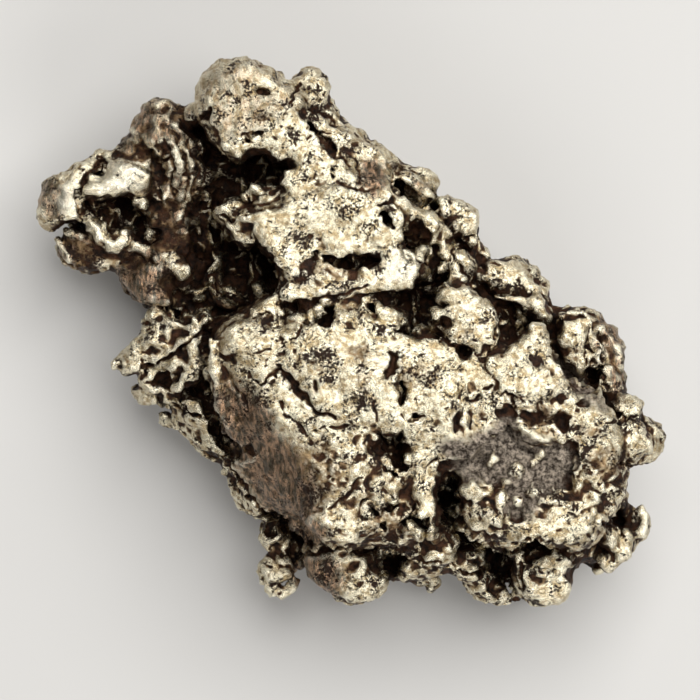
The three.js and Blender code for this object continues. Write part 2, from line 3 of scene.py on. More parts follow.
import bpy
import numpy as np
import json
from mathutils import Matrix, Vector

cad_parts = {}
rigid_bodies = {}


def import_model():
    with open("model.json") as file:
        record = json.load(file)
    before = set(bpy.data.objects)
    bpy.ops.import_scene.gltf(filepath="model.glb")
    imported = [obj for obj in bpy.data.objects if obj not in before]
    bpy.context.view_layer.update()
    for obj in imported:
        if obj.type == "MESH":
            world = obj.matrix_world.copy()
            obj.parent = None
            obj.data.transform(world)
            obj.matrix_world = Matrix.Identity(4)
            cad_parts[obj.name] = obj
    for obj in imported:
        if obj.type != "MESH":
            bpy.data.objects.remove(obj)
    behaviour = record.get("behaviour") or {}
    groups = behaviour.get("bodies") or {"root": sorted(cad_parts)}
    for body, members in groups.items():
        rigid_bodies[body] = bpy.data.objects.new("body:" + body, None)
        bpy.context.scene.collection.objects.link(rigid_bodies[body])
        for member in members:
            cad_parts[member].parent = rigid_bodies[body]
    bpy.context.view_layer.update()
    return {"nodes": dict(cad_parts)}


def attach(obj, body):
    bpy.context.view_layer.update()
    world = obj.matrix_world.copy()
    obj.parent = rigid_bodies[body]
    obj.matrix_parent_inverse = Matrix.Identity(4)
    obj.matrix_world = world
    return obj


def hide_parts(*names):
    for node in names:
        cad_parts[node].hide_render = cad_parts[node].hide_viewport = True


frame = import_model()


# ---------------------------------------------------------------- the stone's body
# The meteorite is one lump of nickel-iron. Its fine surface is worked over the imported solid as
# clay is over an armature: the solid is copied, its loose facets are welded, and they are melted
# into one even skin. Places below are in millimetres, and those of outlines and paths count from
# (ORIGIN_X, ORIGIN_Y). They grow to metres by MM.
MM = 0.001
ORIGIN_X = -0.30
ORIGIN_Y = -0.04
WELD = 0.002
ARMATURE_VOXEL = 0.34


def select_only(piece):
    bpy.ops.object.select_all(action="DESELECT")
    piece.select_set(True)
    bpy.context.view_layer.objects.active = piece


def apply_modifier(piece, kind, **settings):
    select_only(piece)
    modifier = piece.modifiers.new(kind.title(), kind)
    for name, value in settings.items():
        setattr(modifier, name, value)
    bpy.ops.object.modifier_apply(modifier=modifier.name)


def remesh(piece, voxel, passes):
    apply_modifier(piece, "REMESH", mode="VOXEL", voxel_size=voxel * MM)
    apply_modifier(piece, "SMOOTH", factor=0.5, iterations=passes)


stone = bpy.data.objects.new("meteorite_surface", frame["nodes"]["meteorite"].data.copy())
bpy.context.scene.collection.objects.link(stone)
select_only(stone)
bpy.ops.object.mode_set(mode="EDIT")
bpy.ops.mesh.select_all(action="SELECT")
bpy.ops.mesh.remove_doubles(threshold=WELD * MM)
bpy.ops.object.mode_set(mode="OBJECT")
remesh(stone, ARMATURE_VOXEL, passes=6)


# ---------------------------------------------------------------- valleys and the cave
# Oxide once lined the gaps between the iron's bands. It has weathered away, so deep dark valleys
# part the stone's main forms. They are sunk first, and the bright forms then stand over them.
SKY = 24
HOLLOW_VOXEL = 0.2
clay = []
sunk = []


def read(layer, name, width):
    flat = np.empty(len(layer) * width, dtype=np.float32)
    layer.foreach_get(name, flat)
    return flat.reshape(-1, width).astype(np.float64)


def points_of(piece):
    """The piece's points in millimetres, and the way each one faces."""
    return read(piece.data.vertices, "co", 3) / MM, read(piece.data.vertex_normals, "vector", 3)


def move_points(piece, spots):
    piece.data.vertices.foreach_set("co", (spots * MM).astype(np.float32).ravel())
    piece.data.update()


def smoothstep(low, high, value):
    t = np.clip((value - low) / (high - low), 0, 1)
    return t * t * (3 - 2 * t)


LATTICE = 32
lattice = np.random.default_rng(20).random((LATTICE, LATTICE, LATTICE)) * 2 - 1


def noise(place, size, shift):
    """Smooth noise from -1 to 1 with lumps about size millimetres wide."""
    spot = place / size + shift
    base = np.floor(spot).astype(int)
    part = spot - base
    part = part * part * (3 - 2 * part)
    total = np.zeros(len(place))
    for corner in range(8):
        step = np.array([corner & 1, (corner >> 1) & 1, corner >> 2])
        share = np.prod(np.where(step, part, 1 - part), axis=1)
        i, j, k = ((base + step) % LATTICE).T
        total += share * lattice[i, j, k]
    return total


def drift(place, size, *shifts):
    """A column of noise for each shift."""
    return np.stack([noise(place, size, shift) for shift in shifts], axis=1)


def cells(place, size, shift):
    """Distance to the nearest of a scatter of seeds, one for each cube of the given size, over it."""
    spot = place / size + shift
    base = np.floor(spot).astype(int)
    nearest = np.full(len(place), 9.0)
    for n in range(27):
        cube = base + np.array([n % 3 - 1, n // 3 % 3 - 1, n // 9 - 1])
        i, j, k = (cube % LATTICE).T
        jitter = np.stack([lattice[i, j, k], lattice[j, k, i], lattice[k, i, j]], axis=1) * 0.5 + 0.5
        nearest = np.minimum(nearest, np.linalg.norm(cube + jitter - spot, axis=1))
    return nearest


def net_of(piece):
    ends = np.empty(len(piece.data.edges) * 2, dtype=np.int32)
    piece.data.edges.foreach_get("vertices", ends)
    return ends.reshape(-1, 2)


def blurred(values, ends, passes):
    """Each point's values averaged with its neighbours', many times over."""
    values = values.copy()
    count = len(values)
    neighbours = np.bincount(ends.ravel(), minlength=count).astype(float)
    for again in range(passes):
        for column in range(values.shape[1]):
            total = np.bincount(ends[:, 0], values[ends[:, 1], column], minlength=count)
            total += np.bincount(ends[:, 1], values[ends[:, 0], column], minlength=count)
            values[:, column] = 0.5 * values[:, column] + 0.5 * total / neighbours
    return values


def roughen(piece, *scales):
    """Moves the points in and out by noise: each scale is its width, its height and a shift."""
    spots, normals = points_of(piece)
    height = sum(high * noise(spots, size, shift) for size, high, shift in scales)
    move_points(piece, spots + normals * height[:, None])


def slab(outline, bottom, top, soft=0.35, lean=(0, 0)):
    """A worn plate: its outline in plan, its two heights, a rounded edge and its top's two slopes."""
    curve = bpy.data.curves.new("slab", "CURVE")
    curve.dimensions = "2D"
    curve.fill_mode = "BOTH"
    curve.extrude = ((top - bottom) / 2 - soft) * MM
    curve.bevel_depth = soft * MM
    curve.bevel_resolution = 2
    curve.offset = -soft * MM
    spline = curve.splines.new("POLY")
    spline.points.add(len(outline) - 1)
    spline.use_cyclic_u = True
    for point, (x, y) in zip(spline.points, outline):
        point.co = ((x + ORIGIN_X) * MM, (y + ORIGIN_Y) * MM, 0, 1)
    plate = bpy.data.objects.new("slab", curve)
    bpy.context.scene.collection.objects.link(plate)
    plate.location.z = (bottom + top) / 2 * MM
    select_only(plate)
    bpy.ops.object.convert(target="MESH")
    bpy.ops.object.transform_apply(location=True, rotation=False, scale=False)
    plate = bpy.context.object
    if any(lean):
        spots = read(plate.data.vertices, "co", 3) / MM
        middle = spots[:, :2].mean(axis=0)
        spots[:, 2] += (spots[:, :2] - middle) @ np.array(lean)
        move_points(plate, spots)
    clay.append(plate)


def gather(first=None):
    """Joins what was made since the last call, onto the first piece if one is given."""
    bpy.ops.object.select_all(action="DESELECT")
    for piece in clay:
        piece.select_set(True)
    keeper = first or clay[0]
    keeper.select_set(True)
    bpy.context.view_layer.objects.active = keeper
    bpy.ops.object.join()
    bpy.ops.object.transform_apply(location=True, rotation=True, scale=True)
    clay.clear()
    return keeper


def pocket(outline, floor, rim, dark=1.0):
    """A hollow sunk from the sky to its floor; below its rim the walls keep so much oxide."""
    slab(outline, floor, SKY, soft=0.15)
    sunk.append((outline, rim, dark))


def carve(piece):
    """Cuts what was made since the last call out of the piece, with rough walls."""
    hollows = gather()
    remesh(hollows, HOLLOW_VOXEL, passes=1)
    roughen(hollows, (1.7, 0.34, 7.3), (0.8, 0.30, 2.9), (0.45, 0.14, 5.5))
    apply_modifier(piece, "BOOLEAN", operation="DIFFERENCE", solver="MANIFOLD", object=hollows)
    bpy.data.objects.remove(hollows)


# The valley beside the neck, with the cave under the crown.
pocket([
    (-9.9, 12.2), (-9.3, 12.8), (-8.6, 12.7), (-7.4, 11.9), (-6.7, 12.8), (-5.7, 12.8), (-5.2, 12.2),
    (-3.4, 11.9), (-3.4, 11.5), (-4.2, 11.0), (-4.4, 10.0), (-5.4, 9.9), (-5.9, 9.7), (-6.7, 8.6),
    (-8.3, 7.8), (-7.8, 6.7), (-7.0, 6.0), (-6.2, 6.7), (-5.8, 6.1), (-5.2, 5.6), (-4.7, 4.9),
    (-4.4, 4.1), (-4.4, 3.3), (-4.9, 2.8), (-6.1, 2.6), (-7.1, 1.9), (-8.0, 1.5), (-9.2, 1.2),
    (-10.2, 0.8), (-11.3, 0.8), (-12.2, 1.1), (-13.0, 1.9), (-12.3, 2.4), (-12.2, 3.4), (-10.9, 3.8),
    (-10.5, 5.0), (-10.9, 6.5), (-11.2, 7.6), (-10.9, 8.6), (-10.2, 9.3),
], 6.6, 12.0, dark=0.85)
# Between the right rim, the popcorn lumps and the main plate.
pocket([
    (2.3, 3.2), (3.1, 3.0), (4.3, 3.0), (5.0, 3.8), (5.3, 4.9), (5.0, 6.0), (4.0, 6.0), (3.4, 6.6),
    (4.0, 7.0), (5.4, 6.5), (6.4, 7.0), (6.8, 5.8), (7.1, 4.5), (7.1, 3.8), (7.5, 3.3), (6.4, 2.6),
    (5.9, 1.6), (5.9, 0.6), (6.9, 0.1), (7.5, -0.8), (6.4, -0.4), (5.4, -0.2), (4.0, -0.3), (3.4, -0.2),
    (3.1, 0.3), (3.8, 0.8), (4.5, 1.3), (3.7, 1.8), (2.6, 2.1), (2.3, 2.5),
], 9.5, 15.5)
pocket([
    (10.4, 1.9), (10.9, 2.1), (12.0, 2.1), (12.6, 1.8), (12.8, 1.1), (13.2, 0.8), (13.8, 1.1),
    (14.2, 1.6), (14.7, 1.1), (14.5, 0.3), (14.6, -0.8), (14.3, -1.3), (13.8, -0.6), (13.4, 0.5),
    (12.7, 0.6), (12.0, -0.3), (11.3, -0.9), (11.0, -1.0), (10.9, -0.6), (10.5, -0.1), (10.4, 0.8),
], 9.6, 14.0)
# The deep hole in the lower edge, and the black gaps on both sides of it.
pocket([
    (6.2, -10.0), (6.8, -9.6), (7.7, -9.6), (8.0, -10.1), (8.0, -11.5), (8.2, -12.5), (8.4, -13.6),
    (9.1, -14.1), (10.6, -14.4), (11.4, -14.6), (11.8, -15.4), (11.6, -16.7), (11.8, -18.1),
    (10.9, -18.8), (9.9, -18.1), (9.1, -16.7), (9.1, -15.4), (8.0, -14.9), (7.3, -14.6), (6.8, -13.9),
    (6.2, -13.2), (6.1, -12.2), (6.0, -11.2),
], 4.6, 14.0)
pocket([
    (-5.9, -11.9), (-4.3, -12.6), (-3.3, -13.7), (-1.9, -14.6), (-2.7, -15.2), (-3.0, -16.1),
    (-3.1, -17.0), (-4.0, -16.1), (-4.3, -14.7), (-5.2, -13.7), (-5.9, -12.8),
], 4.4, 11.0)
pocket([
    (1.3, -14.9), (2.2, -14.7), (3.7, -14.9), (4.2, -15.5), (3.7, -15.9), (3.6, -17.0), (3.1, -18.0),
    (2.6, -17.0), (2.2, -15.9), (1.5, -15.2),
], 5.8, 12.0)
# In the arm, under it, and along the foot of the main plate.
pocket([
    (-18.9, 9.4), (-18.6, 9.5), (-17.6, 9.5), (-16.7, 9.5), (-15.9, 9.7), (-15.2, 9.7), (-14.7, 9.4),
    (-14.3, 8.7), (-13.9, 8.3), (-13.7, 7.7), (-13.2, 7.3), (-13.0, 6.7), (-13.7, 6.3), (-14.5, 6.6),
    (-15.2, 6.8), (-15.5, 7.3), (-16.0, 7.4), (-16.4, 7.1), (-16.9, 6.9), (-17.2, 7.3), (-17.7, 7.9),
    (-18.2, 8.5), (-18.7, 8.9),
], 5.8, 10.0)
pocket([
    (-14.5, 2.2), (-13.1, 2.1), (-12.3, 2.2), (-11.6, 2.0), (-11.2, 1.1), (-11.9, 1.0), (-12.9, 1.8),
    (-13.8, 1.8), (-14.5, 1.3),
], 4.6, 9.0)
pocket([
    (-9.9, -0.8), (-9.5, -1.3), (-9.3, -2.7), (-9.0, -4.6), (-8.8, -5.9), (-8.3, -6.8), (-7.6, -7.5),
    (-7.4, -8.4), (-7.9, -9.2), (-8.7, -8.4), (-9.4, -7.4), (-9.8, -6.3), (-10.2, -5.2), (-10.2, -3.6),
    (-10.1, -2.2),
], 7.2, 12.0, dark=0.9)
pocket([
    (-13.8, -4.1), (-12.8, -4.2), (-11.9, -4.1), (-11.3, -3.6), (-10.5, -3.9), (-10.3, -4.5),
    (-11.0, -4.3), (-11.7, -4.6), (-12.1, -5.1), (-12.9, -5.2), (-13.7, -4.8),
], 5.4, 9.0)

carve(stone)


# ---------------------------------------------------------------- knobs, lobes and ledges
# The iron grew in bands about 3 mm wide, and its edge is a row of rounded knobs where they end.
# Each knob is a ball pressed to its own three radii, each ledge or rib a strand with thin ends.
BALL_DIVISIONS = 4
THIN_END = 0.55


def lump(x, y, z, rx, ry, rz, turn=0.0):
    bpy.ops.mesh.primitive_ico_sphere_add(
        subdivisions=BALL_DIVISIONS,
        radius=MM,
        location=((x + ORIGIN_X) * MM, (y + ORIGIN_Y) * MM, z * MM),
        rotation=(0, 0, math.radians(turn)),
        scale=(rx, ry, rz),
    )
    clay.append(bpy.context.object)


def level(height, path):
    return [(x, y, height) for x, y in path]


def strand(points, radius):
    curve = bpy.data.curves.new("strand", "CURVE")
    curve.dimensions = "3D"
    curve.bevel_depth = radius * MM
    curve.bevel_resolution = 3
    curve.resolution_u = 6
    curve.use_fill_caps = True
    spline = curve.splines.new("NURBS")
    spline.points.add(len(points) - 1)
    for n, (x, y, z) in enumerate(points):
        spline.points[n].co = ((x + ORIGIN_X) * MM, (y + ORIGIN_Y) * MM, z * MM, 1)
        spline.points[n].radius = THIN_END if n in (0, len(points) - 1) else 1.0
    spline.use_endpoint_u = True
    spline.order_u = min(3, len(points))
    rope = bpy.data.objects.new("strand", curve)
    bpy.context.scene.collection.objects.link(rope)
    select_only(rope)
    bpy.ops.object.convert(target="MESH")
    clay.append(bpy.context.object)


# The arm: its end knob in two facets, the two-lobed plate on it and the wall behind.
slab([
    (-20.3, 10.5), (-19.4, 10.7), (-18.9, 10.1), (-18.9, 9.4), (-18.7, 8.5), (-18.6, 8.0), (-19.0, 8.0),
    (-19.8, 8.0), (-20.3, 7.7), (-20.8, 7.9), (-20.3, 8.9), (-19.9, 9.6),
], 6.0, 10.4)
slab([
    (-21.6, 8.8), (-21.4, 9.7), (-20.8, 10.2), (-20.1, 10.6), (-19.7, 10.1), (-20.1, 9.2), (-20.5, 8.3),
    (-20.9, 7.5), (-21.3, 7.8), (-21.6, 8.3),
], 5.0, 10.0, soft=0.5, lean=(0.32, 0.0))
slab([
    (-18.5, 10.2), (-18.1, 10.6), (-17.7, 10.7), (-17.2, 10.6), (-16.9, 10.7), (-16.5, 11.0),
    (-16.2, 11.4), (-15.9, 11.8), (-15.4, 12.0), (-14.9, 12.0), (-14.3, 11.7), (-13.9, 11.3),
    (-13.7, 10.8), (-13.8, 10.2), (-14.2, 9.8), (-14.6, 9.9), (-15.0, 10.0), (-15.5, 10.0),
    (-16.0, 9.8), (-16.9, 9.6), (-17.4, 9.6), (-18.2, 9.6), (-18.5, 9.8),
], 6.0, 11.3, soft=0.3)
slab([
    (-18.2, 11.6), (-17.7, 11.9), (-17.3, 12.5), (-16.9, 11.9), (-16.7, 11.4), (-17.1, 11.0),
    (-18.0, 10.9), (-18.4, 11.0),
], 4.0, 7.8, soft=0.3)
slab([
    (-16.8, 12.3), (-16.2, 12.2), (-15.8, 12.4), (-15.2, 12.9), (-14.8, 13.3), (-14.2, 13.4),
    (-13.8, 13.1), (-13.7, 12.7), (-13.8, 12.1), (-14.0, 11.7), (-14.5, 12.0), (-15.3, 12.2),
    (-16.0, 12.0), (-16.5, 11.6), (-16.7, 11.8),
], 5.0, 9.9, soft=0.25)
strand(level(9.9, [(-18.4, 10.4), (-18.2, 11.4)]), 0.32)
strand(level(9.4, [(-20.0, 10.7), (-19.1, 11.2), (-18.2, 11.6)]), 0.35)
strand(level(9.0, [(-17.4, 12.2), (-17.1, 12.6), (-16.5, 12.6)]), 0.38)
# The bent rib below its hollow, the wing under the knob and the boulder below.
slab([
    (-18.3, 8.4), (-17.9, 8.0), (-17.4, 7.4), (-16.9, 6.9), (-16.6, 6.6), (-16.2, 6.4), (-16.0, 6.6),
    (-15.7, 7.1), (-15.3, 7.4), (-15.3, 6.9), (-15.6, 6.4), (-16.0, 5.9), (-16.5, 5.9), (-17.0, 6.2),
    (-17.6, 6.8), (-18.0, 7.6),
], 5.0, 9.9, soft=0.22)
slab([
    (-16.5, 7.1), (-16.2, 7.4), (-15.8, 7.2), (-15.8, 6.7), (-16.1, 6.4), (-16.4, 6.7),
], 5.0, 9.6, soft=0.15)
strand(level(9.9, [(-15.2, 9.9), (-14.7, 9.4), (-14.4, 9.0), (-14.1, 8.8)]), 0.32)
strand(level(9.4, [(-14.0, 8.1), (-13.6, 7.9), (-13.2, 7.6), (-12.9, 6.9)]), 0.36)
strand(level(8.6, [(-20.1, 7.5), (-19.6, 7.1), (-19.2, 7.1), (-18.8, 6.7)]), 0.24)
slab([
    (-20.4, 6.5), (-20.1, 6.5), (-19.5, 6.1), (-18.9, 5.6), (-18.4, 4.9), (-18.6, 4.6), (-19.3, 5.1),
    (-19.9, 5.6),
], 4.0, 8.3, soft=0.25, lean=(0.2, 0.1))
slab([
    (-18.7, 7.1), (-18.0, 6.6), (-17.4, 6.1), (-17.1, 5.4), (-17.5, 4.7), (-18.3, 4.7), (-18.8, 5.6),
    (-19.1, 6.4),
], 4.0, 7.8, soft=0.4)
slab([
    (-16.2, 4.9), (-15.7, 5.6), (-14.9, 5.8), (-13.8, 5.5), (-13.6, 4.7), (-14.2, 4.4), (-15.2, 4.3),
    (-16.0, 4.0),
], 4.0, 8.8, lean=(0.0, 0.2))
slab([
    (-16.1, 4.0), (-15.2, 4.3), (-14.2, 4.4), (-13.6, 4.1), (-12.9, 3.5), (-12.5, 2.7), (-12.4, 2.2),
    (-13.1, 2.2), (-14.0, 2.4), (-14.5, 2.4), (-15.1, 3.0), (-15.6, 3.5),
], 4.0, 9.4, soft=0.22, lean=(0.1, -0.28))
slab([
    (-15.6, 6.9), (-14.9, 6.8), (-14.0, 6.4), (-13.3, 6.4), (-13.2, 5.5), (-13.9, 5.6), (-14.7, 6.0),
    (-15.5, 5.8), (-16.0, 5.6), (-15.9, 6.2),
], 4.0, 7.6)
slab([
    (-13.1, 5.0), (-12.9, 5.6), (-12.6, 5.8), (-12.2, 5.5), (-11.7, 5.3), (-11.4, 4.8), (-11.0, 4.3),
    (-11.2, 4.0), (-11.7, 4.0), (-12.1, 4.4), (-12.6, 4.7), (-12.9, 4.7),
], 4.0, 9.6, soft=0.16)
# The folds of the arm: a boulder that runs out in long thin leaves.
slab([
    (-15.2, 14.1), (-14.9, 14.7), (-14.3, 15.2), (-13.8, 15.7), (-13.1, 16.1), (-12.4, 15.9),
    (-11.9, 15.3), (-11.4, 14.7), (-10.9, 14.0), (-10.1, 13.1), (-10.1, 12.8), (-10.7, 12.9),
    (-11.4, 13.1), (-12.2, 13.5), (-13.1, 13.2), (-13.7, 13.0), (-14.3, 13.4), (-14.7, 13.1),
    (-15.1, 13.1),
], 4.0, 10.5, soft=0.6)
slab([
    (-13.8, 12.9), (-13.1, 13.3), (-12.3, 13.5), (-11.4, 13.2), (-10.7, 12.8), (-10.3, 11.9),
    (-10.3, 10.5), (-10.6, 9.5), (-11.4, 9.3), (-12.3, 9.2), (-13.1, 9.2), (-13.7, 9.7), (-13.8, 11.2),
], 5.0, 9.8, soft=0.4)
strand([
    (-12.8, 15.5, 11.3), (-13.0, 15.1, 11.2), (-13.3, 14.6, 11.1), (-13.3, 14.1, 11.1),
    (-13.7, 13.8, 11.0), (-13.4, 13.3, 10.9), (-12.8, 12.9, 10.8), (-12.4, 12.6, 10.7),
    (-12.3, 12.0, 10.6), (-12.3, 11.3, 10.6), (-12.2, 10.8, 10.5), (-12.0, 10.4, 10.4),
], 0.42)
strand(level(11.0, [(-14.4, 13.7), (-14.2, 14.0), (-13.7, 13.6), (-13.3, 13.3)]), 0.34)
strand(level(10.9, [(-12.8, 15.4), (-12.5, 14.9), (-11.9, 14.3), (-11.2, 13.8), (-10.8, 13.4)]), 0.42)
lump(-10.2, 13.0, 9.6, 0.3, 0.35, 0.6)
strand([
    (-12.6, 14.0, 11.0), (-12.0, 13.3, 10.8), (-11.5, 12.9, 10.7), (-11.4, 12.2, 10.5),
    (-11.3, 11.5, 10.4), (-11.1, 10.7, 10.2),
], 0.34)
strand([(-11.4, 13.0, 10.6), (-11.0, 12.4, 10.4), (-10.7, 11.9, 10.3), (-10.6, 11.4, 10.1)], 0.3)
strand(level(10.2, [(-10.8, 12.0), (-10.9, 11.1), (-10.8, 10.4)]), 0.22)
lump(-10.9, 10.1, 9.6, 0.4, 0.3, 0.5)
strand(level(9.9, [(-11.7, 10.6), (-11.8, 10.1), (-11.6, 9.7), (-11.3, 9.4)]), 0.3)
slab([
    (-13.5, 10.9), (-13.2, 10.8), (-12.9, 10.3), (-12.7, 9.6), (-12.9, 9.2), (-13.1, 9.5),
    (-13.4, 10.2),
], 6.0, 10.4, soft=0.12)
slab([
    (-13.1, 10.7), (-12.6, 11.1), (-12.2, 10.8), (-12.2, 10.3), (-12.5, 9.9), (-12.2, 9.4),
    (-12.5, 9.2), (-12.8, 9.7), (-13.0, 10.2),
], 6.0, 10.2, soft=0.12)
strand(level(9.8, [(-10.1, 11.8), (-9.9, 11.3), (-9.6, 10.6)]), 0.2)
strand(level(9.4, [(-9.5, 10.2), (-9.4, 9.5)]), 0.2)
slab([
    (-11.3, 15.4), (-11.1, 15.8), (-10.6, 16.1), (-10.2, 16.2), (-10.2, 15.6), (-10.4, 15.1),
    (-10.6, 14.8), (-11.1, 14.8),
], 6.0, 12.2, soft=0.4)
strand(level(11.5, [(-10.3, 14.9), (-10.5, 14.1)]), 0.18)
# Lumps below the arm, the satin blade and the two ledges of the left flank.
slab([
    (-14.7, 0.8), (-14.3, 1.1), (-14.0, 0.8), (-13.7, 0.3), (-13.6, -0.2), (-14.1, 0.0), (-14.5, 0.4),
], 3.0, 8.9, soft=0.3)
slab([
    (-14.0, 1.6), (-13.5, 1.8), (-12.9, 1.5), (-12.4, 1.2), (-12.2, 0.8), (-12.6, 0.6), (-13.0, 0.1),
    (-13.4, 0.1), (-13.7, 0.5), (-13.8, 1.1),
], 3.0, 9.4, soft=0.3)
slab([
    (-12.6, -0.0), (-11.8, 0.6), (-11.0, 0.9), (-10.4, 1.2), (-9.9, 1.5), (-9.6, 1.2), (-9.8, 0.8),
    (-10.3, 0.3), (-11.0, -0.0), (-11.7, -0.3), (-12.3, -0.3),
], 5.0, 10.6, soft=0.25, lean=(0.3, 0.0))
slab([
    (-16.0, -1.6), (-15.8, -1.3), (-15.2, -1.0), (-14.4, -0.7), (-13.7, -0.4), (-13.1, -0.1),
    (-12.4, 0.0), (-11.7, -0.3), (-11.0, -0.3), (-10.4, 0.1), (-10.1, 0.1), (-10.6, -0.4),
    (-11.3, -0.8), (-12.0, -1.3), (-12.8, -1.7), (-13.7, -2.2), (-14.5, -2.5), (-15.3, -2.8),
    (-15.8, -2.8), (-16.0, -2.2),
], 5.0, 10.0, soft=0.22, lean=(0.34, 0.0))
slab([
    (-14.7, -3.2), (-14.5, -2.8), (-13.8, -2.5), (-13.3, -2.0), (-12.6, -1.5), (-11.7, -1.5),
    (-11.7, -2.2), (-11.4, -3.1), (-11.6, -3.8), (-12.1, -4.0), (-13.1, -4.1), (-14.0, -4.0),
    (-14.5, -3.7),
], 4.0, 8.9, soft=0.25)
strand(level(9.6, [
    (-12.7, -1.8), (-12.3, -1.5), (-11.8, -1.5), (-11.7, -2.0), (-12.0, -2.5), (-12.3, -2.4),
]), 0.24)
slab([
    (-15.5, -4.2), (-15.3, -3.8), (-14.8, -3.9), (-14.4, -4.4), (-14.1, -4.9), (-14.8, -4.8),
    (-15.3, -4.5),
], 4.2, 7.0)
slab([
    (-11.9, -4.8), (-11.5, -4.5), (-11.0, -4.2), (-10.5, -4.5), (-10.3, -4.8), (-10.7, -5.1),
    (-11.2, -5.3), (-11.7, -5.3),
], 4.0, 8.6, soft=0.15)
strand(level(8.9, [(-11.9, -4.8), (-11.5, -5.3), (-11.0, -5.1), (-10.3, -4.8)]), 0.24)
slab([
    (-11.2, -1.1), (-11.0, -0.6), (-10.5, -0.1), (-10.1, -0.1), (-10.3, -0.8), (-10.3, -1.5),
    (-10.4, -2.2), (-10.5, -2.7), (-10.2, -3.4), (-10.5, -3.4), (-10.8, -2.7), (-10.9, -2.0),
    (-11.1, -1.7),
], 5.0, 11.0, soft=0.15)
slab([
    (-11.1, -6.1), (-10.6, -6.0), (-10.4, -6.4), (-10.1, -7.0), (-9.8, -7.7), (-10.1, -7.9),
    (-10.5, -7.5), (-10.8, -6.8),
], 3.0, 7.9, soft=0.25)
slab([
    (-13.6, -5.4), (-12.8, -5.4), (-12.3, -5.7), (-11.9, -6.5), (-12.5, -6.3), (-13.1, -6.1),
], 4.2, 6.8, soft=0.2)
strand(level(6.0, [(-13.1, -6.1), (-12.4, -6.4), (-11.6, -6.9), (-11.1, -7.2)]), 0.2)
strand(level(7.8, [(-8.8, -9.6), (-8.4, -10.1), (-7.9, -10.6)]), 0.3)
strand(level(6.4, [(-9.1, -10.6), (-8.8, -10.9)]), 0.26)
strand(level(8.6, [(-6.7, -11.7), (-6.3, -12.2), (-6.0, -12.8)]), 0.3)
strand([
    (-9.5, -0.0, 16.0), (-9.2, -1.3, 15.6), (-9.0, -2.9, 15.3), (-8.8, -4.6, 14.9), (-8.6, -5.8, 14.6),
    (-8.1, -6.7, 14.2),
], 0.4)
strand([(-7.5, -8.9, 12.4), (-7.2, -9.6, 11.7), (-6.8, -10.7, 11.1), (-6.2, -11.6, 10.4)], 0.36)
strand(level(13.0, [(-7.4, -9.1), (-6.8, -9.2), (-6.3, -9.0), (-6.0, -8.7)]), 0.24)
# The crown at the narrow end, its drop-shaped lobes, and the bridge down to the neck.
slab([
    (-10.1, 15.9), (-10.1, 16.6), (-9.7, 17.3), (-9.2, 17.8), (-8.4, 18.2), (-7.4, 18.6), (-6.3, 18.6),
    (-5.5, 18.4), (-5.0, 18.2), (-4.7, 17.5), (-4.1, 17.2), (-3.4, 16.8), (-3.0, 16.2), (-3.2, 15.6),
    (-3.6, 15.2), (-4.3, 14.3), (-5.3, 13.6), (-6.7, 13.5), (-8.1, 13.7), (-9.0, 14.2), (-9.6, 14.9),
], 8.0, 15.5, soft=0.8)
slab([
    (-9.2, 14.7), (-8.4, 15.5), (-6.0, 16.1), (-3.8, 15.5), (-3.4, 15.0), (-3.0, 14.5), (-2.2, 13.7),
    (-1.5, 13.0), (-0.9, 12.3), (-0.5, 12.0), (0.2, 11.1), (1.0, 10.0), (0.2, 9.2), (-1.2, 8.9),
    (-2.5, 8.9), (-3.5, 9.2), (-3.9, 9.5), (-4.2, 9.9), (-4.4, 10.6), (-4.1, 11.1), (-3.4, 11.4),
    (-3.4, 12.2), (-3.9, 12.3), (-4.5, 12.1), (-5.0, 12.1), (-5.5, 12.6), (-6.1, 12.8), (-6.7, 12.8),
    (-7.2, 12.6), (-7.2, 12.0), (-7.5, 12.0), (-8.0, 12.3), (-8.4, 12.8), (-8.6, 13.5), (-8.8, 14.2),
], 11.8, 15.7, soft=0.3)
slab([
    (-9.9, 14.7), (-9.5, 14.7), (-9.1, 14.3), (-8.9, 13.6), (-9.1, 13.3), (-9.5, 13.6), (-9.8, 14.1),
], 6.0, 13.8, soft=0.25)
slab([
    (-3.7, 17.6), (-3.4, 17.9), (-2.9, 17.9), (-2.2, 17.6), (-1.7, 17.2), (-1.4, 16.6), (-1.3, 16.3),
    (-1.6, 15.7), (-2.1, 15.7), (-2.7, 16.1), (-3.1, 16.5), (-3.5, 17.0), (-3.7, 17.3),
], 7.0, 13.6, soft=0.7)
# The band of plates down the crown's right side, ending in a round knob.
slab([
    (-3.1, 15.9), (-2.4, 15.9), (-1.7, 15.5), (-0.9, 14.8), (-0.1, 14.1), (0.4, 13.6), (0.9, 13.0),
    (0.3, 11.5), (0.8, 10.7), (0.3, 11.2), (-0.1, 11.9), (-0.7, 12.5), (-1.5, 13.3), (-2.4, 14.1),
    (-3.1, 14.8), (-3.3, 15.6),
], 6.0, 13.0, soft=0.3)
slab([
    (-2.8, 14.8), (-2.4, 14.9), (-1.9, 14.5), (-1.6, 14.2), (-2.0, 14.0), (-2.6, 14.3),
], 6.0, 14.0, soft=0.12)
slab([(-1.8, 14.3), (-1.4, 14.4), (-0.9, 14.1), (-1.1, 13.8), (-1.5, 14.0)], 6.0, 14.0, soft=0.12)
slab([(-0.9, 13.9), (-0.4, 14.0), (0.2, 13.5), (0.0, 13.3), (-0.5, 13.4)], 6.0, 13.9, soft=0.12)
slab([
    (-1.2, 13.3), (-0.9, 13.5), (-0.3, 13.4), (0.3, 13.2), (0.8, 12.9), (0.3, 12.6), (-0.3, 12.7),
    (-0.8, 13.0),
], 6.0, 14.0, soft=0.15)
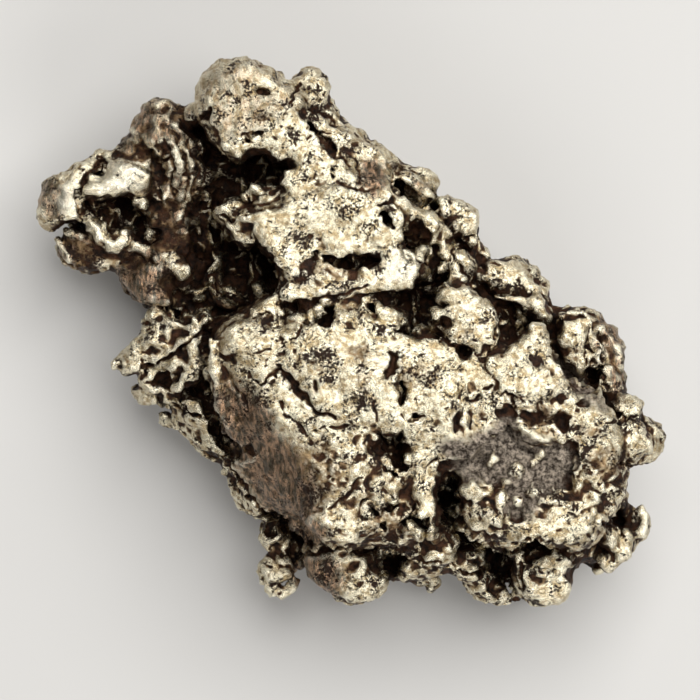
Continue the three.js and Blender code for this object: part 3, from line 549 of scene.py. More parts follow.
slab([
    (0.1, 12.2), (0.6, 12.7), (1.3, 12.9), (2.0, 12.7), (2.6, 12.2), (3.0, 11.5), (3.2, 10.9),
    (2.9, 10.0), (2.1, 9.6), (1.3, 9.8), (0.7, 10.5), (0.3, 11.3),
], 5.0, 13.8, soft=0.6)
strand(level(13.4, [(0.8, 12.9), (1.6, 12.7), (2.4, 12.4), (2.8, 11.8)]), 0.45)
# The neck: the lips at the cave's mouth and the plate itself.
slab([
    (-7.1, 9.3), (-6.7, 9.5), (-5.9, 9.6), (-5.0, 9.7), (-3.9, 9.8), (-3.4, 9.4), (-4.2, 8.8),
    (-5.2, 8.5), (-6.2, 8.3), (-6.8, 8.4),
], 8.0, 13.6, soft=0.3, lean=(0.1, 0.0))
strand(level(13.8, [
    (-7.3, 9.3), (-6.9, 9.6), (-6.3, 9.7), (-5.9, 9.9), (-5.3, 9.9), (-4.6, 9.8),
]), 0.34)
strand(level(14.0, [(-5.8, 9.8), (-5.6, 9.4), (-5.9, 9.0), (-6.6, 8.6)]), 0.26)
strand(level(12.4, [(-6.6, 10.1), (-6.2, 10.2), (-5.5, 10.1)]), 0.22)
strand(level(10.6, [(-8.9, 10.4), (-9.1, 9.9), (-8.9, 9.4)]), 0.22)
slab([
    (-9.3, 8.5), (-8.9, 8.9), (-8.2, 9.2), (-7.6, 9.3), (-7.2, 8.9), (-6.9, 8.6), (-7.3, 8.4),
    (-7.8, 8.1), (-8.2, 7.9), (-8.9, 8.0),
], 7.0, 13.6, soft=0.3)
slab([
    (-8.4, 7.6), (-7.9, 7.9), (-7.4, 8.1), (-6.7, 8.2), (-6.1, 7.7), (-5.9, 7.0), (-6.3, 6.6),
    (-6.6, 6.3), (-7.0, 6.1), (-7.4, 6.4), (-7.9, 6.9),
], 7.0, 14.7)
slab([
    (-7.5, 8.0), (-5.8, 8.3), (-3.9, 9.0), (-2.2, 9.9), (-0.1, 10.3), (1.0, 9.9), (2.3, 9.4),
    (3.2, 8.8), (3.9, 8.2), (4.0, 7.5), (3.6, 7.0), (3.4, 6.2), (3.9, 5.9), (4.5, 6.0), (5.0, 5.7),
    (5.1, 4.9), (4.7, 4.0), (4.2, 3.0), (3.2, 3.3), (1.9, 3.1), (0.2, 2.6), (-1.5, 2.3), (-3.2, 2.1),
    (-4.7, 2.4), (-4.3, 3.3), (-4.3, 4.1), (-4.7, 4.9), (-5.6, 6.0), (-5.9, 6.7), (-6.5, 7.5),
], 9.0, 16.1, soft=0.3)
lump(-8.3, 11.7, 12.4, 0.7, 0.2, 0.4, -20)
# The right rim of the neck, lump after lump.
slab([
    (3.2, 10.8), (3.7, 11.1), (4.2, 11.2), (4.8, 10.9), (5.5, 10.3), (6.2, 9.5), (6.7, 8.9), (6.0, 8.3),
    (5.1, 8.3), (4.2, 8.7), (3.5, 9.3), (3.1, 10.0),
], 4.0, 12.8, soft=0.25)
strand(level(14.0, [(2.8, 9.0), (3.7, 8.7), (4.5, 8.3), (5.4, 7.9), (6.3, 7.2)]), 0.42)
slab([
    (6.2, 9.4), (7.0, 9.4), (7.9, 9.0), (8.7, 8.3), (9.0, 7.6), (8.9, 6.5), (8.8, 5.7), (8.4, 6.0),
    (8.0, 6.7), (7.6, 7.4), (7.1, 7.9), (6.5, 8.3), (6.3, 8.9),
], 4.0, 12.3, soft=0.4)
slab([
    (5.4, 6.1), (6.2, 6.7), (6.9, 6.5), (7.4, 5.7), (7.2, 4.7), (6.3, 4.3), (5.4, 4.0), (5.1, 4.9),
], 7.0, 12.6, soft=0.3)
slab([(6.9, 6.9), (7.1, 7.5), (7.6, 7.8), (7.8, 7.1), (7.3, 6.6), (6.9, 6.5)], 8.0, 13.2, soft=0.15)
slab([(6.0, 7.3), (6.2, 7.3), (6.3, 6.6), (6.0, 6.6)], 8.0, 13.3, soft=0.12)
slab([(6.4, 6.4), (6.8, 6.6), (7.1, 6.1), (6.7, 5.9)], 8.0, 13.3, soft=0.12)
slab([
    (7.2, 5.6), (7.7, 5.8), (8.2, 5.5), (8.6, 5.0), (8.7, 4.4), (8.5, 3.8), (8.1, 3.4), (7.5, 3.3),
    (7.2, 3.8), (7.1, 4.6),
], 7.0, 13.9)
strand(level(13.2, [(5.5, 3.9), (6.3, 4.2), (7.2, 4.8)]), 0.25)
strand(level(11.6, [(9.1, 4.8), (9.4, 4.2), (9.3, 3.4)]), 0.24)
slab([(8.5, 3.5), (9.0, 3.3), (9.0, 2.8), (8.6, 3.0)], 8.0, 12.6, soft=0.12)
slab([(9.0, 6.5), (9.7, 6.1), (10.1, 5.5), (9.7, 5.2), (9.3, 5.7)], 4.0, 9.6, soft=0.2)
slab([
    (9.5, 3.8), (9.7, 4.6), (10.4, 5.0), (11.1, 5.2), (11.8, 4.9), (12.4, 4.4), (12.9, 3.7),
    (13.5, 2.6), (12.7, 2.4), (11.7, 2.4), (10.6, 2.6), (10.0, 3.0),
], 3.0, 12.0, soft=0.5)
strand(level(12.7, [(9.9, 2.6), (10.6, 2.5), (11.5, 2.4), (12.3, 2.1), (12.7, 1.7)]), 0.34)
# Popcorn lumps over the main plate's upper edge, and the plate's raised corner.
slab([
    (6.3, 2.4), (6.6, 2.8), (7.1, 3.1), (7.7, 3.2), (8.3, 3.1), (9.0, 2.6), (9.6, 2.1), (10.1, 1.6),
    (10.4, 0.9), (10.3, 0.0), (10.1, -0.6), (9.5, -1.1), (8.9, -1.5), (8.4, -1.3), (7.9, -0.8),
    (7.4, -0.6), (7.0, -0.0), (6.9, 0.8), (6.7, 1.1), (6.1, 1.1), (5.8, 1.4), (6.1, 1.8), (6.8, 1.6),
    (7.2, 1.8), (7.1, 2.2),
], 7.0, 16.5, soft=0.4)
slab([
    (2.3, 2.1), (3.0, 2.1), (3.7, 1.7), (4.5, 1.3), (4.0, 0.9), (3.3, 0.4), (2.6, 0.8), (1.9, 1.3),
], 8.0, 14.6, soft=0.25)
slab([
    (12.7, 2.3), (13.2, 2.8), (13.7, 2.4), (13.9, 1.8), (14.1, 1.0), (13.7, 0.8), (13.2, 1.0),
    (12.8, 1.4),
], 6.0, 13.2, soft=0.3)
slab([
    (9.0, -2.0), (9.4, -1.6), (10.0, -1.3), (10.5, -1.6), (11.1, -1.3), (11.5, -0.8), (12.0, -0.4),
    (12.6, 0.2), (12.8, 0.7), (13.3, 0.5), (13.7, -0.3), (13.9, -1.1), (14.4, -2.0), (15.0, -3.1),
    (15.6, -4.0), (16.0, -4.7), (14.6, -5.2), (12.6, -5.1), (10.2, -4.4), (9.0, -3.3),
], 9.0, 16.4)
# Knobs round the right end.
slab([
    (14.5, 1.2), (14.9, 1.4), (15.5, 1.0), (16.1, 0.8), (16.7, 0.3), (16.7, -0.3), (16.3, -0.8),
    (16.2, -1.1), (15.5, -1.1), (14.8, -1.1), (14.6, -0.4), (14.9, 0.3), (14.9, 0.8),
], 5.0, 13.4, soft=0.3)
slab([
    (14.8, -1.3), (15.5, -1.2), (16.2, -1.1), (16.7, -1.3), (17.3, -1.7), (17.5, -2.1), (17.1, -2.3),
    (16.6, -2.2), (16.4, -2.6), (16.2, -2.9), (15.9, -2.6), (15.1, -2.0),
], 5.0, 13.2, soft=0.25)
strand(level(12.8, [
    (15.3, 1.5), (16.0, 1.5), (16.7, 1.1), (16.9, 0.4), (17.0, -0.3), (17.4, -1.0), (17.8, -1.8),
]), 0.36)
strand(level(12.6, [(17.2, -0.6), (17.6, -0.6), (17.8, -1.3), (17.9, -2.0)]), 0.26)
slab([
    (17.1, 0.6), (17.8, 0.6), (18.5, 0.1), (18.9, -0.6), (19.1, -1.3), (19.2, -2.2), (19.1, -3.2),
    (18.9, -2.7), (18.8, -1.8), (18.5, -1.1), (18.1, -0.5), (17.6, 0.1),
], 4.0, 11.8, soft=0.3)
slab([
    (17.6, -2.6), (18.1, -2.2), (18.5, -2.3), (18.8, -3.1), (19.0, -3.9), (19.3, -4.6), (18.8, -4.7),
    (18.3, -4.2), (17.7, -3.8),
], 6.0, 12.6, soft=0.25)
slab([
    (15.9, -4.6), (16.7, -4.1), (17.6, -4.4), (18.1, -5.1), (18.7, -5.9), (19.5, -6.1), (20.3, -6.2),
    (20.9, -6.8), (21.2, -7.6), (20.8, -8.2), (20.0, -8.6), (19.3, -9.0), (19.3, -9.7), (19.1, -10.8),
    (18.5, -11.8), (17.6, -12.8), (17.1, -13.9), (16.6, -14.7), (15.7, -14.8), (14.7, -14.2),
    (14.3, -11.4), (16.0, -9.4), (16.2, -7.3), (15.7, -5.9),
], 7.0, 15.6, soft=0.7, lean=(-0.2, 0.0))
lump(19.3, -7.4, 12.4, 1.3, 1.3, 1.5)
lump(19.3, -5.5, 12.4, 1.2, 1.3, 2.3)
strand(level(12.4, [(18.8, -4.9), (19.3, -4.7), (19.6, -5.3), (19.7, -5.8)]), 0.3)
slab([
    (17.8, -13.3), (18.1, -12.8), (18.5, -13.0), (18.9, -13.7), (18.8, -14.7), (18.4, -15.1),
    (17.9, -14.8), (17.7, -14.0),
], 4.0, 11.4, soft=0.2)
slab([
    (18.9, -14.0), (19.4, -13.6), (19.8, -13.6), (20.1, -14.4), (20.1, -15.0), (19.5, -15.6),
    (19.0, -15.9), (18.7, -15.2), (18.9, -14.7),
], 4.0, 10.6, soft=0.25)
strand(level(11.2, [(19.2, -12.2), (19.5, -12.6), (20.0, -13.3)]), 0.34)
strand(level(9.8, [
    (19.9, -12.5), (20.5, -12.3), (20.9, -13.0), (20.8, -13.7), (20.4, -14.1), (19.9, -14.4),
]), 0.42)
slab([
    (17.4, -15.5), (17.9, -15.4), (18.8, -15.5), (18.9, -16.0), (18.6, -16.5), (18.2, -16.7),
    (17.9, -16.3),
], 3.0, 10.0, soft=0.25)
# Lobes along the lower edge.
slab([
    (11.5, -14.7), (12.0, -15.0), (12.3, -15.7), (12.7, -16.1), (13.4, -15.6), (14.0, -15.3),
    (14.7, -15.1), (15.3, -15.2), (15.7, -15.5), (15.3, -16.2), (15.0, -16.8), (15.5, -17.3),
    (15.6, -17.8), (15.1, -18.4), (14.4, -18.7), (13.8, -18.9), (13.0, -18.7), (12.5, -18.1),
    (12.1, -17.5), (11.9, -16.6), (11.8, -15.7),
], 2.0, 11.8, soft=0.45)
strand(level(7.6, [(9.0, -16.3), (9.4, -17.1), (9.9, -17.9)]), 0.2)
strand(level(5.2, [(8.9, -18.0), (10.1, -18.7), (11.4, -18.9)]), 0.3)
slab([
    (9.3, -16.4), (9.9, -16.5), (10.2, -16.9), (10.4, -17.9), (9.8, -17.7), (9.5, -17.1),
], 2.0, 7.2, soft=0.15)
slab([
    (3.5, -13.4), (4.4, -13.4), (5.0, -13.6), (5.2, -14.6), (5.6, -14.9), (5.9, -14.1), (6.2, -13.6),
    (6.8, -14.0), (7.3, -14.6), (7.3, -15.3), (6.9, -15.7), (6.3, -15.9), (5.6, -15.9), (4.9, -15.5),
    (4.2, -14.8), (3.5, -14.5),
], 6.0, 13.9, soft=0.4)
slab([
    (7.2, -15.2), (7.8, -15.1), (8.6, -15.2), (9.3, -15.2), (9.1, -15.8), (8.5, -16.3), (7.5, -16.4),
    (7.2, -16.1),
], 4.0, 10.6, soft=0.25)
slab([
    (3.6, -16.0), (4.3, -15.8), (4.8, -16.2), (5.5, -16.5), (6.4, -16.1), (7.1, -16.3), (6.5, -16.7),
    (5.7, -17.0), (5.0, -17.3), (4.0, -17.4), (3.6, -17.0),
], 3.0, 9.8, soft=0.4)
slab([
    (4.9, -17.3), (5.5, -16.9), (6.4, -16.8), (6.6, -17.2), (6.3, -17.8), (5.9, -18.0), (5.3, -17.8),
], 2.0, 6.6, soft=0.4)
strand(level(6.8, [(5.4, -17.9), (6.0, -17.9), (6.5, -17.6)]), 0.2)
slab([
    (-3.0, -15.9), (-2.6, -15.1), (-2.0, -14.9), (-1.2, -14.8), (-0.1, -14.8), (0.8, -15.0),
    (1.5, -15.6), (2.0, -16.3), (2.4, -17.1), (2.9, -17.2), (2.4, -17.9), (1.5, -18.4), (0.3, -18.6),
    (-0.6, -18.2), (-1.7, -17.7), (-2.6, -17.0),
], 1.5, 11.3, soft=0.9)
lump(2.3, -17.0, 9.4, 0.4, 0.35, 0.6)
strand(level(10.2, [(-2.9, -15.8), (-2.7, -15.3), (-2.4, -15.0)]), 0.26)
slab([
    (-6.0, -13.8), (-5.6, -13.3), (-4.9, -13.8), (-4.4, -14.9), (-4.0, -16.0), (-3.4, -16.1),
    (-3.3, -16.7), (-4.4, -16.9), (-5.4, -16.7), (-5.6, -15.8), (-5.3, -15.1), (-5.9, -14.6),
], 2.5, 6.6, soft=0.25)
strand(level(7.0, [(-6.0, -13.5), (-6.1, -14.2), (-5.7, -14.9), (-5.3, -15.2)]), 0.2)
strand(level(7.0, [(-5.4, -13.4), (-4.9, -14.0), (-4.6, -14.4)]), 0.2)
strand(level(7.0, [(-4.9, -15.7), (-4.4, -16.3)]), 0.2)
strand(level(6.0, [
    (-6.0, -16.1), (-6.0, -17.0), (-5.8, -17.6), (-5.3, -18.1), (-4.5, -18.3), (-3.8, -17.8),
    (-3.2, -17.2),
]), 0.46)
strand(level(6.6, [(-5.9, -16.8), (-5.1, -17.0), (-4.2, -17.1), (-3.5, -16.8)]), 0.3)
lump(-5.0, -17.2, 5.8, 0.35, 0.35, 0.6)

gather(stone)
BODY_VOXEL = 0.2
remesh(stone, BODY_VOXEL, passes=1)
roughen(stone, (2.6, 0.16, 0.3), (1.2, 0.16, 4.1), (0.6, 0.08, 2.2))

# Low on the sides the knobs lean and swell, each its own way. The slender ring at the front is left
# as it is.
SWAY = 1.1
RING = (-5.0, -16.8)
spots = points_of(stone)[0]
low_down = smoothstep(7.0, 3.5, spots[:, 2]) * smoothstep(0.3, 1.5, spots[:, 2])
low_down *= smoothstep(2.5, 4.5, np.hypot(*(spots[:, :2] - RING).T))
spots[:, :2] += SWAY * drift(spots * (1.0, 1.0, 0.6), 3.0, 1.3, 7.9) * low_down[:, None]
move_points(stone, spots)

# Tumbling and brushing wore flat whatever stood proud, so knobs have flattened crests.
CREST = 0.5
CREST_PASSES = 60
spots, normals = points_of(stone)
form = blurred(spots, net_of(stone), CREST_PASSES)
proud = np.sum((spots - form) * normals, axis=1)
worn_off = np.maximum(proud - CREST * np.tanh(proud / CREST), 0)
move_points(stone, spots - normals * worn_off[:, None])


# ---------------------------------------------------------------- hollows, slots and pits
# Smaller hollows break the plates themselves, where knots of brittle mineral have fallen out. Each
# is sunk through the finished skin, so its lip stays sharp. Most floors are dark, and the wide
# shallow basin under the grey patch isn't.
# In the arm.
pocket([
    (-18.0, 11.5), (-17.3, 11.8), (-17.1, 12.3), (-16.9, 12.3), (-16.8, 11.8), (-16.6, 11.3),
    (-16.9, 10.9), (-17.4, 10.8), (-17.9, 10.9),
], 8.2, 10.0)
pocket([
    (-20.4, 7.6), (-20.0, 7.9), (-19.3, 7.9), (-18.6, 7.9), (-18.3, 7.4), (-18.4, 7.0), (-18.9, 7.3),
    (-19.6, 7.4), (-20.3, 7.4),
], 6.2, 9.5)
pocket([
    (-13.8, 12.8), (-13.2, 12.8), (-12.7, 12.5), (-12.4, 12.1), (-12.5, 11.7), (-12.9, 11.8),
    (-13.4, 12.2), (-13.7, 12.4),
], 7.4, 10.4)
# The crown: its slit and pits, the slot down its right side and the leaf below.
pocket([(-10.0, 15.3), (-9.7, 15.4), (-9.4, 15.2), (-9.3, 14.8), (-9.7, 14.7), (-9.9, 14.9)], 11.6, 15.0)
pocket([
    (-7.2, 13.7), (-6.7, 13.9), (-6.1, 13.8), (-5.6, 13.7), (-5.7, 13.5), (-6.3, 13.5), (-6.6, 13.3),
    (-6.9, 13.1),
], 14.4, 15.7, dark=0.8)
pocket([
    (-6.7, 16.9), (-6.1, 17.0), (-5.4, 16.7), (-5.1, 16.5), (-5.7, 16.5), (-6.4, 16.6),
], 14.9, 15.5, dark=0.9)
pocket([
    (-3.0, 14.7), (-2.5, 14.3), (-2.0, 13.9), (-1.5, 13.5), (-1.1, 13.1), (-0.7, 12.7), (-0.2, 12.3),
    (0.2, 11.8), (0.2, 11.4), (-0.2, 11.8), (-0.7, 12.2), (-1.1, 12.5), (-1.6, 12.9), (-2.1, 13.4),
    (-2.7, 14.0), (-3.1, 14.4),
], 10.4, 15.2)
pocket([
    (-1.4, 11.3), (-1.0, 11.4), (-0.8, 11.7), (-0.7, 11.3), (-0.7, 10.7), (-0.9, 10.6), (-1.2, 10.9),
], 13.0, 15.8)
# The neck: the black hole at its right edge, the slots across it, and the rim lump's bowl.
pocket([
    (2.1, 8.3), (2.4, 8.5), (2.8, 8.2), (3.2, 7.8), (3.5, 7.3), (3.9, 7.1), (4.5, 6.9), (5.1, 6.7),
    (5.6, 6.3), (5.0, 5.8), (4.1, 5.7), (3.4, 5.9), (3.0, 6.1), (3.4, 6.4), (3.6, 6.8), (3.2, 7.0),
    (2.8, 7.2), (2.5, 7.7),
], 11.8, 16.0)
pocket([
    (-2.6, 5.7), (-2.1, 5.5), (-1.7, 5.3), (-0.8, 5.5), (0.2, 5.8), (0.8, 5.5), (1.2, 5.2), (2.0, 5.3),
    (2.2, 5.0), (1.7, 4.6), (0.9, 4.5), (0.1, 4.4), (-0.8, 4.5), (-1.9, 4.9), (-2.4, 5.1),
], 13.4, 16.0)
pocket([
    (-4.5, 2.0), (-3.9, 2.2), (-3.2, 2.1), (-2.2, 2.1), (-1.3, 2.2), (-1.0, 2.0), (-0.6, 1.5),
    (-0.6, 0.9), (-1.0, 0.5), (-2.0, 0.4), (-2.9, 0.5), (-3.5, 0.6), (-4.3, 0.5), (-4.6, 0.9),
], 14.6, 16.4, dark=0.8)
pocket([
    (-6.2, 1.2), (-5.8, 1.6), (-5.3, 1.5), (-4.9, 1.1), (-5.0, 0.7), (-5.4, 0.9), (-5.8, 0.6),
    (-6.1, 0.9),
], 14.8, 16.4)
pocket([
    (3.8, 10.7), (4.2, 10.6), (4.6, 10.3), (5.4, 9.7), (6.2, 9.1), (6.6, 8.9), (6.0, 8.5), (5.3, 8.4),
    (4.7, 8.7), (4.1, 9.2), (3.8, 9.8),
], 10.2, 12.8, dark=0.6)
pocket([
    (3.1, 11.0), (3.4, 11.0), (3.6, 10.5), (3.8, 9.8), (4.1, 9.2), (3.8, 9.1), (3.3, 9.6), (3.1, 10.2),
], 8.4, 12.8)
pocket([
    (1.5, 2.0), (2.1, 2.0), (1.9, 1.6), (2.5, 0.9), (3.1, 0.4), (2.7, 0.4), (2.0, 0.9), (1.4, 1.5),
], 14.2, 16.4, dark=0.9)
# In the popcorn lumps and between them.
pocket([(6.0, 1.2), (6.5, 1.3), (6.9, 0.9), (7.0, 0.3), (6.5, 0.3), (6.0, 0.5)], 12.8, 15.5, dark=0.7)
pocket([(7.5, -0.8), (8.0, -0.9), (8.4, -1.3), (8.4, -1.6), (8.0, -1.6), (7.6, -1.2)], 14.2, 16.6)
pocket([
    (9.0, -1.9), (9.3, -1.5), (10.0, -1.1), (10.4, -0.8), (10.5, -1.1), (9.8, -1.5), (9.4, -1.9),
], 14.6, 16.6)
pocket([
    (16.5, -2.3), (17.0, -2.4), (17.6, -2.2), (17.9, -1.9), (17.9, -2.4), (17.6, -3.2), (17.5, -3.6),
    (17.0, -3.3), (16.9, -2.7),
], 9.8, 12.6)
pocket([
    (13.8, -1.2), (14.3, -1.5), (14.8, -2.1), (15.5, -2.6), (16.0, -3.1), (16.7, -3.3), (17.2, -3.8),
    (17.8, -4.4), (18.5, -5.3), (19.5, -5.9), (18.9, -6.1), (18.2, -5.4), (17.5, -4.6), (16.7, -4.2),
    (15.8, -4.0), (15.1, -3.1), (14.3, -2.1),
], 12.6, 15.6, dark=0.5)
# In the main plate.
pocket([
    (3.5, -3.1), (3.8, -3.1), (4.3, -3.7), (4.2, -4.3), (3.8, -4.8), (3.7, -5.4), (4.0, -5.8),
    (4.6, -5.6), (5.3, -5.2), (5.4, -5.4), (4.7, -5.9), (4.1, -6.2), (4.3, -6.7), (4.3, -7.4),
    (3.9, -7.5), (3.6, -8.0), (3.4, -8.5), (2.8, -8.5), (2.4, -8.3), (2.3, -7.6), (2.3, -7.2),
    (1.9, -6.9), (1.6, -6.4), (2.0, -6.6), (2.7, -6.8), (3.4, -6.7), (3.6, -6.3), (3.6, -5.5),
    (3.6, -4.5), (3.6, -3.9),
], 14.0, 17.0)
pocket([
    (0.9, -10.9), (1.4, -10.8), (1.6, -11.4), (1.9, -12.1), (2.3, -12.6), (1.7, -12.8), (1.1, -12.8),
    (1.0, -12.0),
], 13.4, 17.0)
pocket([
    (2.5, -11.8), (2.8, -11.5), (3.0, -11.1), (3.0, -10.7), (3.4, -10.8), (3.6, -11.3), (3.3, -11.9),
    (3.0, -12.4), (2.6, -12.3),
], 15.0, 16.9, dark=0.8)
pocket([(2.1, -13.1), (2.6, -12.9), (2.7, -13.5), (2.5, -13.9), (2.2, -13.5)], 14.8, 16.9, dark=0.9)
pocket([
    (3.3, -8.8), (3.8, -8.5), (4.2, -8.7), (4.7, -9.0), (4.9, -9.4), (4.3, -9.6), (3.6, -9.2),
], 14.8, 17.0, dark=0.9)
pocket([
    (2.5, -8.9), (2.7, -9.1), (3.0, -9.4), (3.4, -9.8), (3.1, -9.9), (2.6, -9.8), (2.5, -9.3),
], 15.0, 17.0, dark=0.9)
pocket([
    (3.4, -13.3), (3.8, -12.8), (4.2, -12.2), (4.7, -11.9), (5.3, -12.3), (5.7, -12.8), (5.6, -13.7),
    (5.7, -14.6), (5.4, -14.6), (5.1, -13.9), (4.9, -13.2), (4.2, -13.3),
], 14.4, 16.8, dark=0.65)
pocket([
    (8.4, -8.3), (9.0, -7.3), (9.7, -6.7), (10.5, -6.3), (11.0, -5.9), (11.7, -6.5), (12.6, -7.1),
    (13.4, -7.4), (14.4, -7.0), (15.2, -7.4), (15.8, -7.8), (15.8, -8.5), (15.6, -9.3), (15.4, -10.4),
    (14.4, -10.7), (13.6, -10.4), (12.9, -10.5), (12.6, -11.4), (12.4, -12.8), (11.9, -13.3),
    (11.2, -12.8), (10.8, -11.8), (10.7, -10.9), (9.8, -10.4), (9.0, -9.7), (7.9, -9.5), (6.5, -9.6),
    (6.2, -9.1), (6.9, -8.5), (7.6, -8.4),
], 15.75, 16.9, dark=0.0)
pocket([
    (18.5, -9.2), (19.0, -8.8), (19.5, -8.7), (19.9, -8.7), (19.4, -9.1), (18.8, -9.4),
], 12.8, 15.2, dark=0.8)
# In the lobes of the lower edge, the cup and the ring.
pocket([
    (11.5, -14.5), (11.9, -14.2), (12.6, -14.0), (13.8, -14.2), (14.5, -14.8), (14.2, -15.2),
    (13.8, -15.3), (13.2, -15.7), (12.8, -16.0), (12.4, -15.7), (12.2, -15.1), (11.9, -14.9),
], 9.4, 12.5, dark=0.7)
pocket([
    (18.6, -12.2), (19.2, -12.4), (19.6, -13.0), (19.4, -13.5), (18.9, -13.4), (18.5, -12.8),
], 8.4, 11.5, dark=0.8)
pocket([(20.0, -12.6), (20.4, -12.5), (20.5, -13.0), (20.3, -13.3), (20.0, -13.1)], 5.4, 9.6)
pocket([(-5.1, -17.6), (-4.7, -17.4), (-4.2, -17.4), (-4.2, -17.8), (-4.7, -17.8)], 3.4, 6.2)

carve(stone)

# Islands left standing in the hollows.
slab([
    (-9.8, 3.6), (-9.5, 4.1), (-8.9, 4.2), (-8.4, 4.0), (-8.2, 3.4), (-8.4, 2.7), (-8.6, 2.3),
    (-9.2, 2.3), (-9.6, 2.9),
], 3.0, 8.6)
slab([
    (-8.6, 2.7), (-8.4, 2.9), (-7.6, 3.4), (-7.3, 3.2), (-7.5, 2.6), (-8.2, 2.0), (-8.5, 2.1),
], 3.0, 9.2, soft=0.12)
slab([(-6.3, 3.1), (-6.2, 3.6), (-5.8, 3.9), (-5.5, 3.5), (-5.7, 3.0), (-6.0, 2.6)], 3.0, 9.0, soft=0.3)
slab([
    (-14.5, 6.6), (-13.6, 8.6), (-12.6, 9.3), (-10.6, 9.5), (-9.5, 8.2), (-9.2, 6.4), (-9.9, 4.6),
    (-11.4, 5.4), (-13.0, 6.1),
], 2.0, 7.4, soft=0.6, lean=(-0.35, 0.0))
strand(level(9.4, [(-6.6, 4.6), (-6.4, 5.1), (-6.2, 5.6)]), 0.24)
strand(level(8.8, [(-9.2, 7.3), (-9.0, 6.7), (-8.9, 6.5)]), 0.2)
strand(level(8.8, [(-10.7, 7.5), (-10.3, 6.9)]), 0.24)
slab([
    (-4.1, 1.4), (-3.5, 1.7), (-2.7, 1.6), (-2.2, 1.4), (-2.4, 0.9), (-3.2, 0.8), (-3.9, 1.0),
], 12.0, 15.1, soft=0.12)
slab([(-2.1, 1.7), (-1.7, 1.8), (-1.4, 1.4), (-1.9, 1.1)], 12.0, 15.7, soft=0.12)
slab([
    (5.0, -11.9), (5.7, -11.7), (6.0, -11.8), (5.9, -12.4), (5.7, -12.8), (5.3, -12.4),
], 11.0, 16.6, soft=0.15)
slab([(3.8, 5.7), (4.5, 5.6), (4.9, 5.2), (4.6, 4.9), (4.1, 5.2)], 12.0, 16.4, soft=0.12)
lump(13.2, -15.1, 9.0, 0.25, 0.25, 1.8)
lump(5.5, 0.3, 9.6, 0.8, 0.4, 1.2)
lump(6.2, 0.6, 12.0, 0.3, 0.25, 0.6)
lump(11.8, 1.5, 9.2, 0.4, 0.6, 1.3)
lump(12.3, 0.8, 8.8, 0.6, 0.4, 1.3)

gather(stone)
SKIN_VOXEL = 0.13
remesh(stone, SKIN_VOXEL, passes=1)


# ---------------------------------------------------------------- cracks, lips and worn relief
# Up close the plates are parted by narrow cracks, dotted with pits and edged with thin raised lips.
# They are drawn in plan on the skin's own points: each stroke lowers or lifts what lies under it,
# and notes how much dark oxide it holds. The plan is what an eye above the stone sees, so whatever
# stands higher than DRAWN_AT is spread a little further out, and noise bends every stroke.
spots, normals = points_of(stone)
EYE_X = 0.21
EYE_Y = -1.12
EYE_HEIGHT = 350.3
DRAWN_AT = 10.0
nearness = (EYE_HEIGHT - DRAWN_AT) / (EYE_HEIGHT - spots[:, 2:])
plan = (spots[:, :2] - (ORIGIN_X, ORIGIN_Y) - (EYE_X, EYE_Y)) * nearness + (EYE_X, EYE_Y)
WOBBLE = 0.28
FINE_WOBBLE = 0.2
wobble = drift(spots, 1.1, 3.1, 8.7)
plan += WOBBLE * wobble
plan += FINE_WOBBLE * drift(spots, 0.38, 1.9, 6.2)
swell = 1 + 0.45 * noise(spots, 0.6, 5.1) + 0.25 * noise(spots, 0.28, 2.6)
upward = normals[:, 2] > 0.12
lift = np.zeros(len(spots))
drop = np.zeros(len(spots))
oxide_and_shade = np.zeros(len(spots))
bright = np.zeros(len(spots))


def near_path(path, reach):
    """The up-facing points near a path, and their distance from it over its reach, which tapers."""
    path = np.array(path, dtype=float)
    low = path.min(axis=0) - 2 * reach
    high = path.max(axis=0) + 2 * reach
    found = np.flatnonzero(upward & np.all((plan > low) & (plan < high), axis=1))
    share = np.full(len(found), np.inf)
    lengths = np.linalg.norm(path[1:] - path[:-1], axis=1)
    done = 0.0
    for start, end, length in zip(path[:-1], path[1:], lengths):
        run = end - start
        away = plan[found] - start
        along = np.clip(away @ run / (run @ run), 0, 1)
        whole = (done + along * length) / lengths.sum()
        taper = 0.45 + 0.55 * np.sqrt(np.sin(math.pi * np.clip(whole, 0.02, 0.98)))
        distance = np.linalg.norm(away - along[:, None] * run, axis=1)
        share = np.minimum(share, distance / (reach * taper))
        done += length
    share = share * swell[found]
    return found[share < 1], share[share < 1]


def in_oval(x, y, rx, ry, turn):
    """Each point's place in a turned oval, from 0 at its middle to 1 at its edge and more beyond."""
    cos, sin = math.cos(math.radians(turn)), math.sin(math.radians(turn))
    away = plan - (x, y)
    u = (away[:, 0] * cos + away[:, 1] * sin) / rx
    v = (away[:, 1] * cos - away[:, 0] * sin) / ry
    return np.hypot(u, v)


def near_spot(x, y, rx, ry, turn=0.0):
    share = in_oval(x, y, rx, ry, turn) * swell
    found = np.flatnonzero(upward & (share < 1))
    return found, share[found]


def crack(path, width, depth, dark=1.0):
    found, share = near_path(path, 0.72 * width)
    shape = 1 - smoothstep(0.25, 0.85, share)
    drop[found] = np.maximum(drop[found], 0.8 * depth * shape)
    oxide_and_shade[found] = np.maximum(oxide_and_shade[found], dark * (1 - smoothstep(0.45, 0.9, share)))


def ridge(path, width, height):
    found, share = near_path(path, width)
    lift[found] = np.maximum(lift[found], height * (1 - share * share) ** 1.5)
    bright[found] = np.maximum(bright[found], 1 - smoothstep(0.2, 0.7, share))


def pit(x, y, rx, ry, depth, turn=0.0, dark=1.0):
    found, share = near_spot(x, y, rx * 1.3, ry * 1.3, turn)
    drop[found] = np.maximum(drop[found], depth * (1 - smoothstep(0.4, 0.95, share)))
    oxide_and_shade[found] = np.maximum(oxide_and_shade[found], dark * (1 - smoothstep(0.6, 0.95, share)))


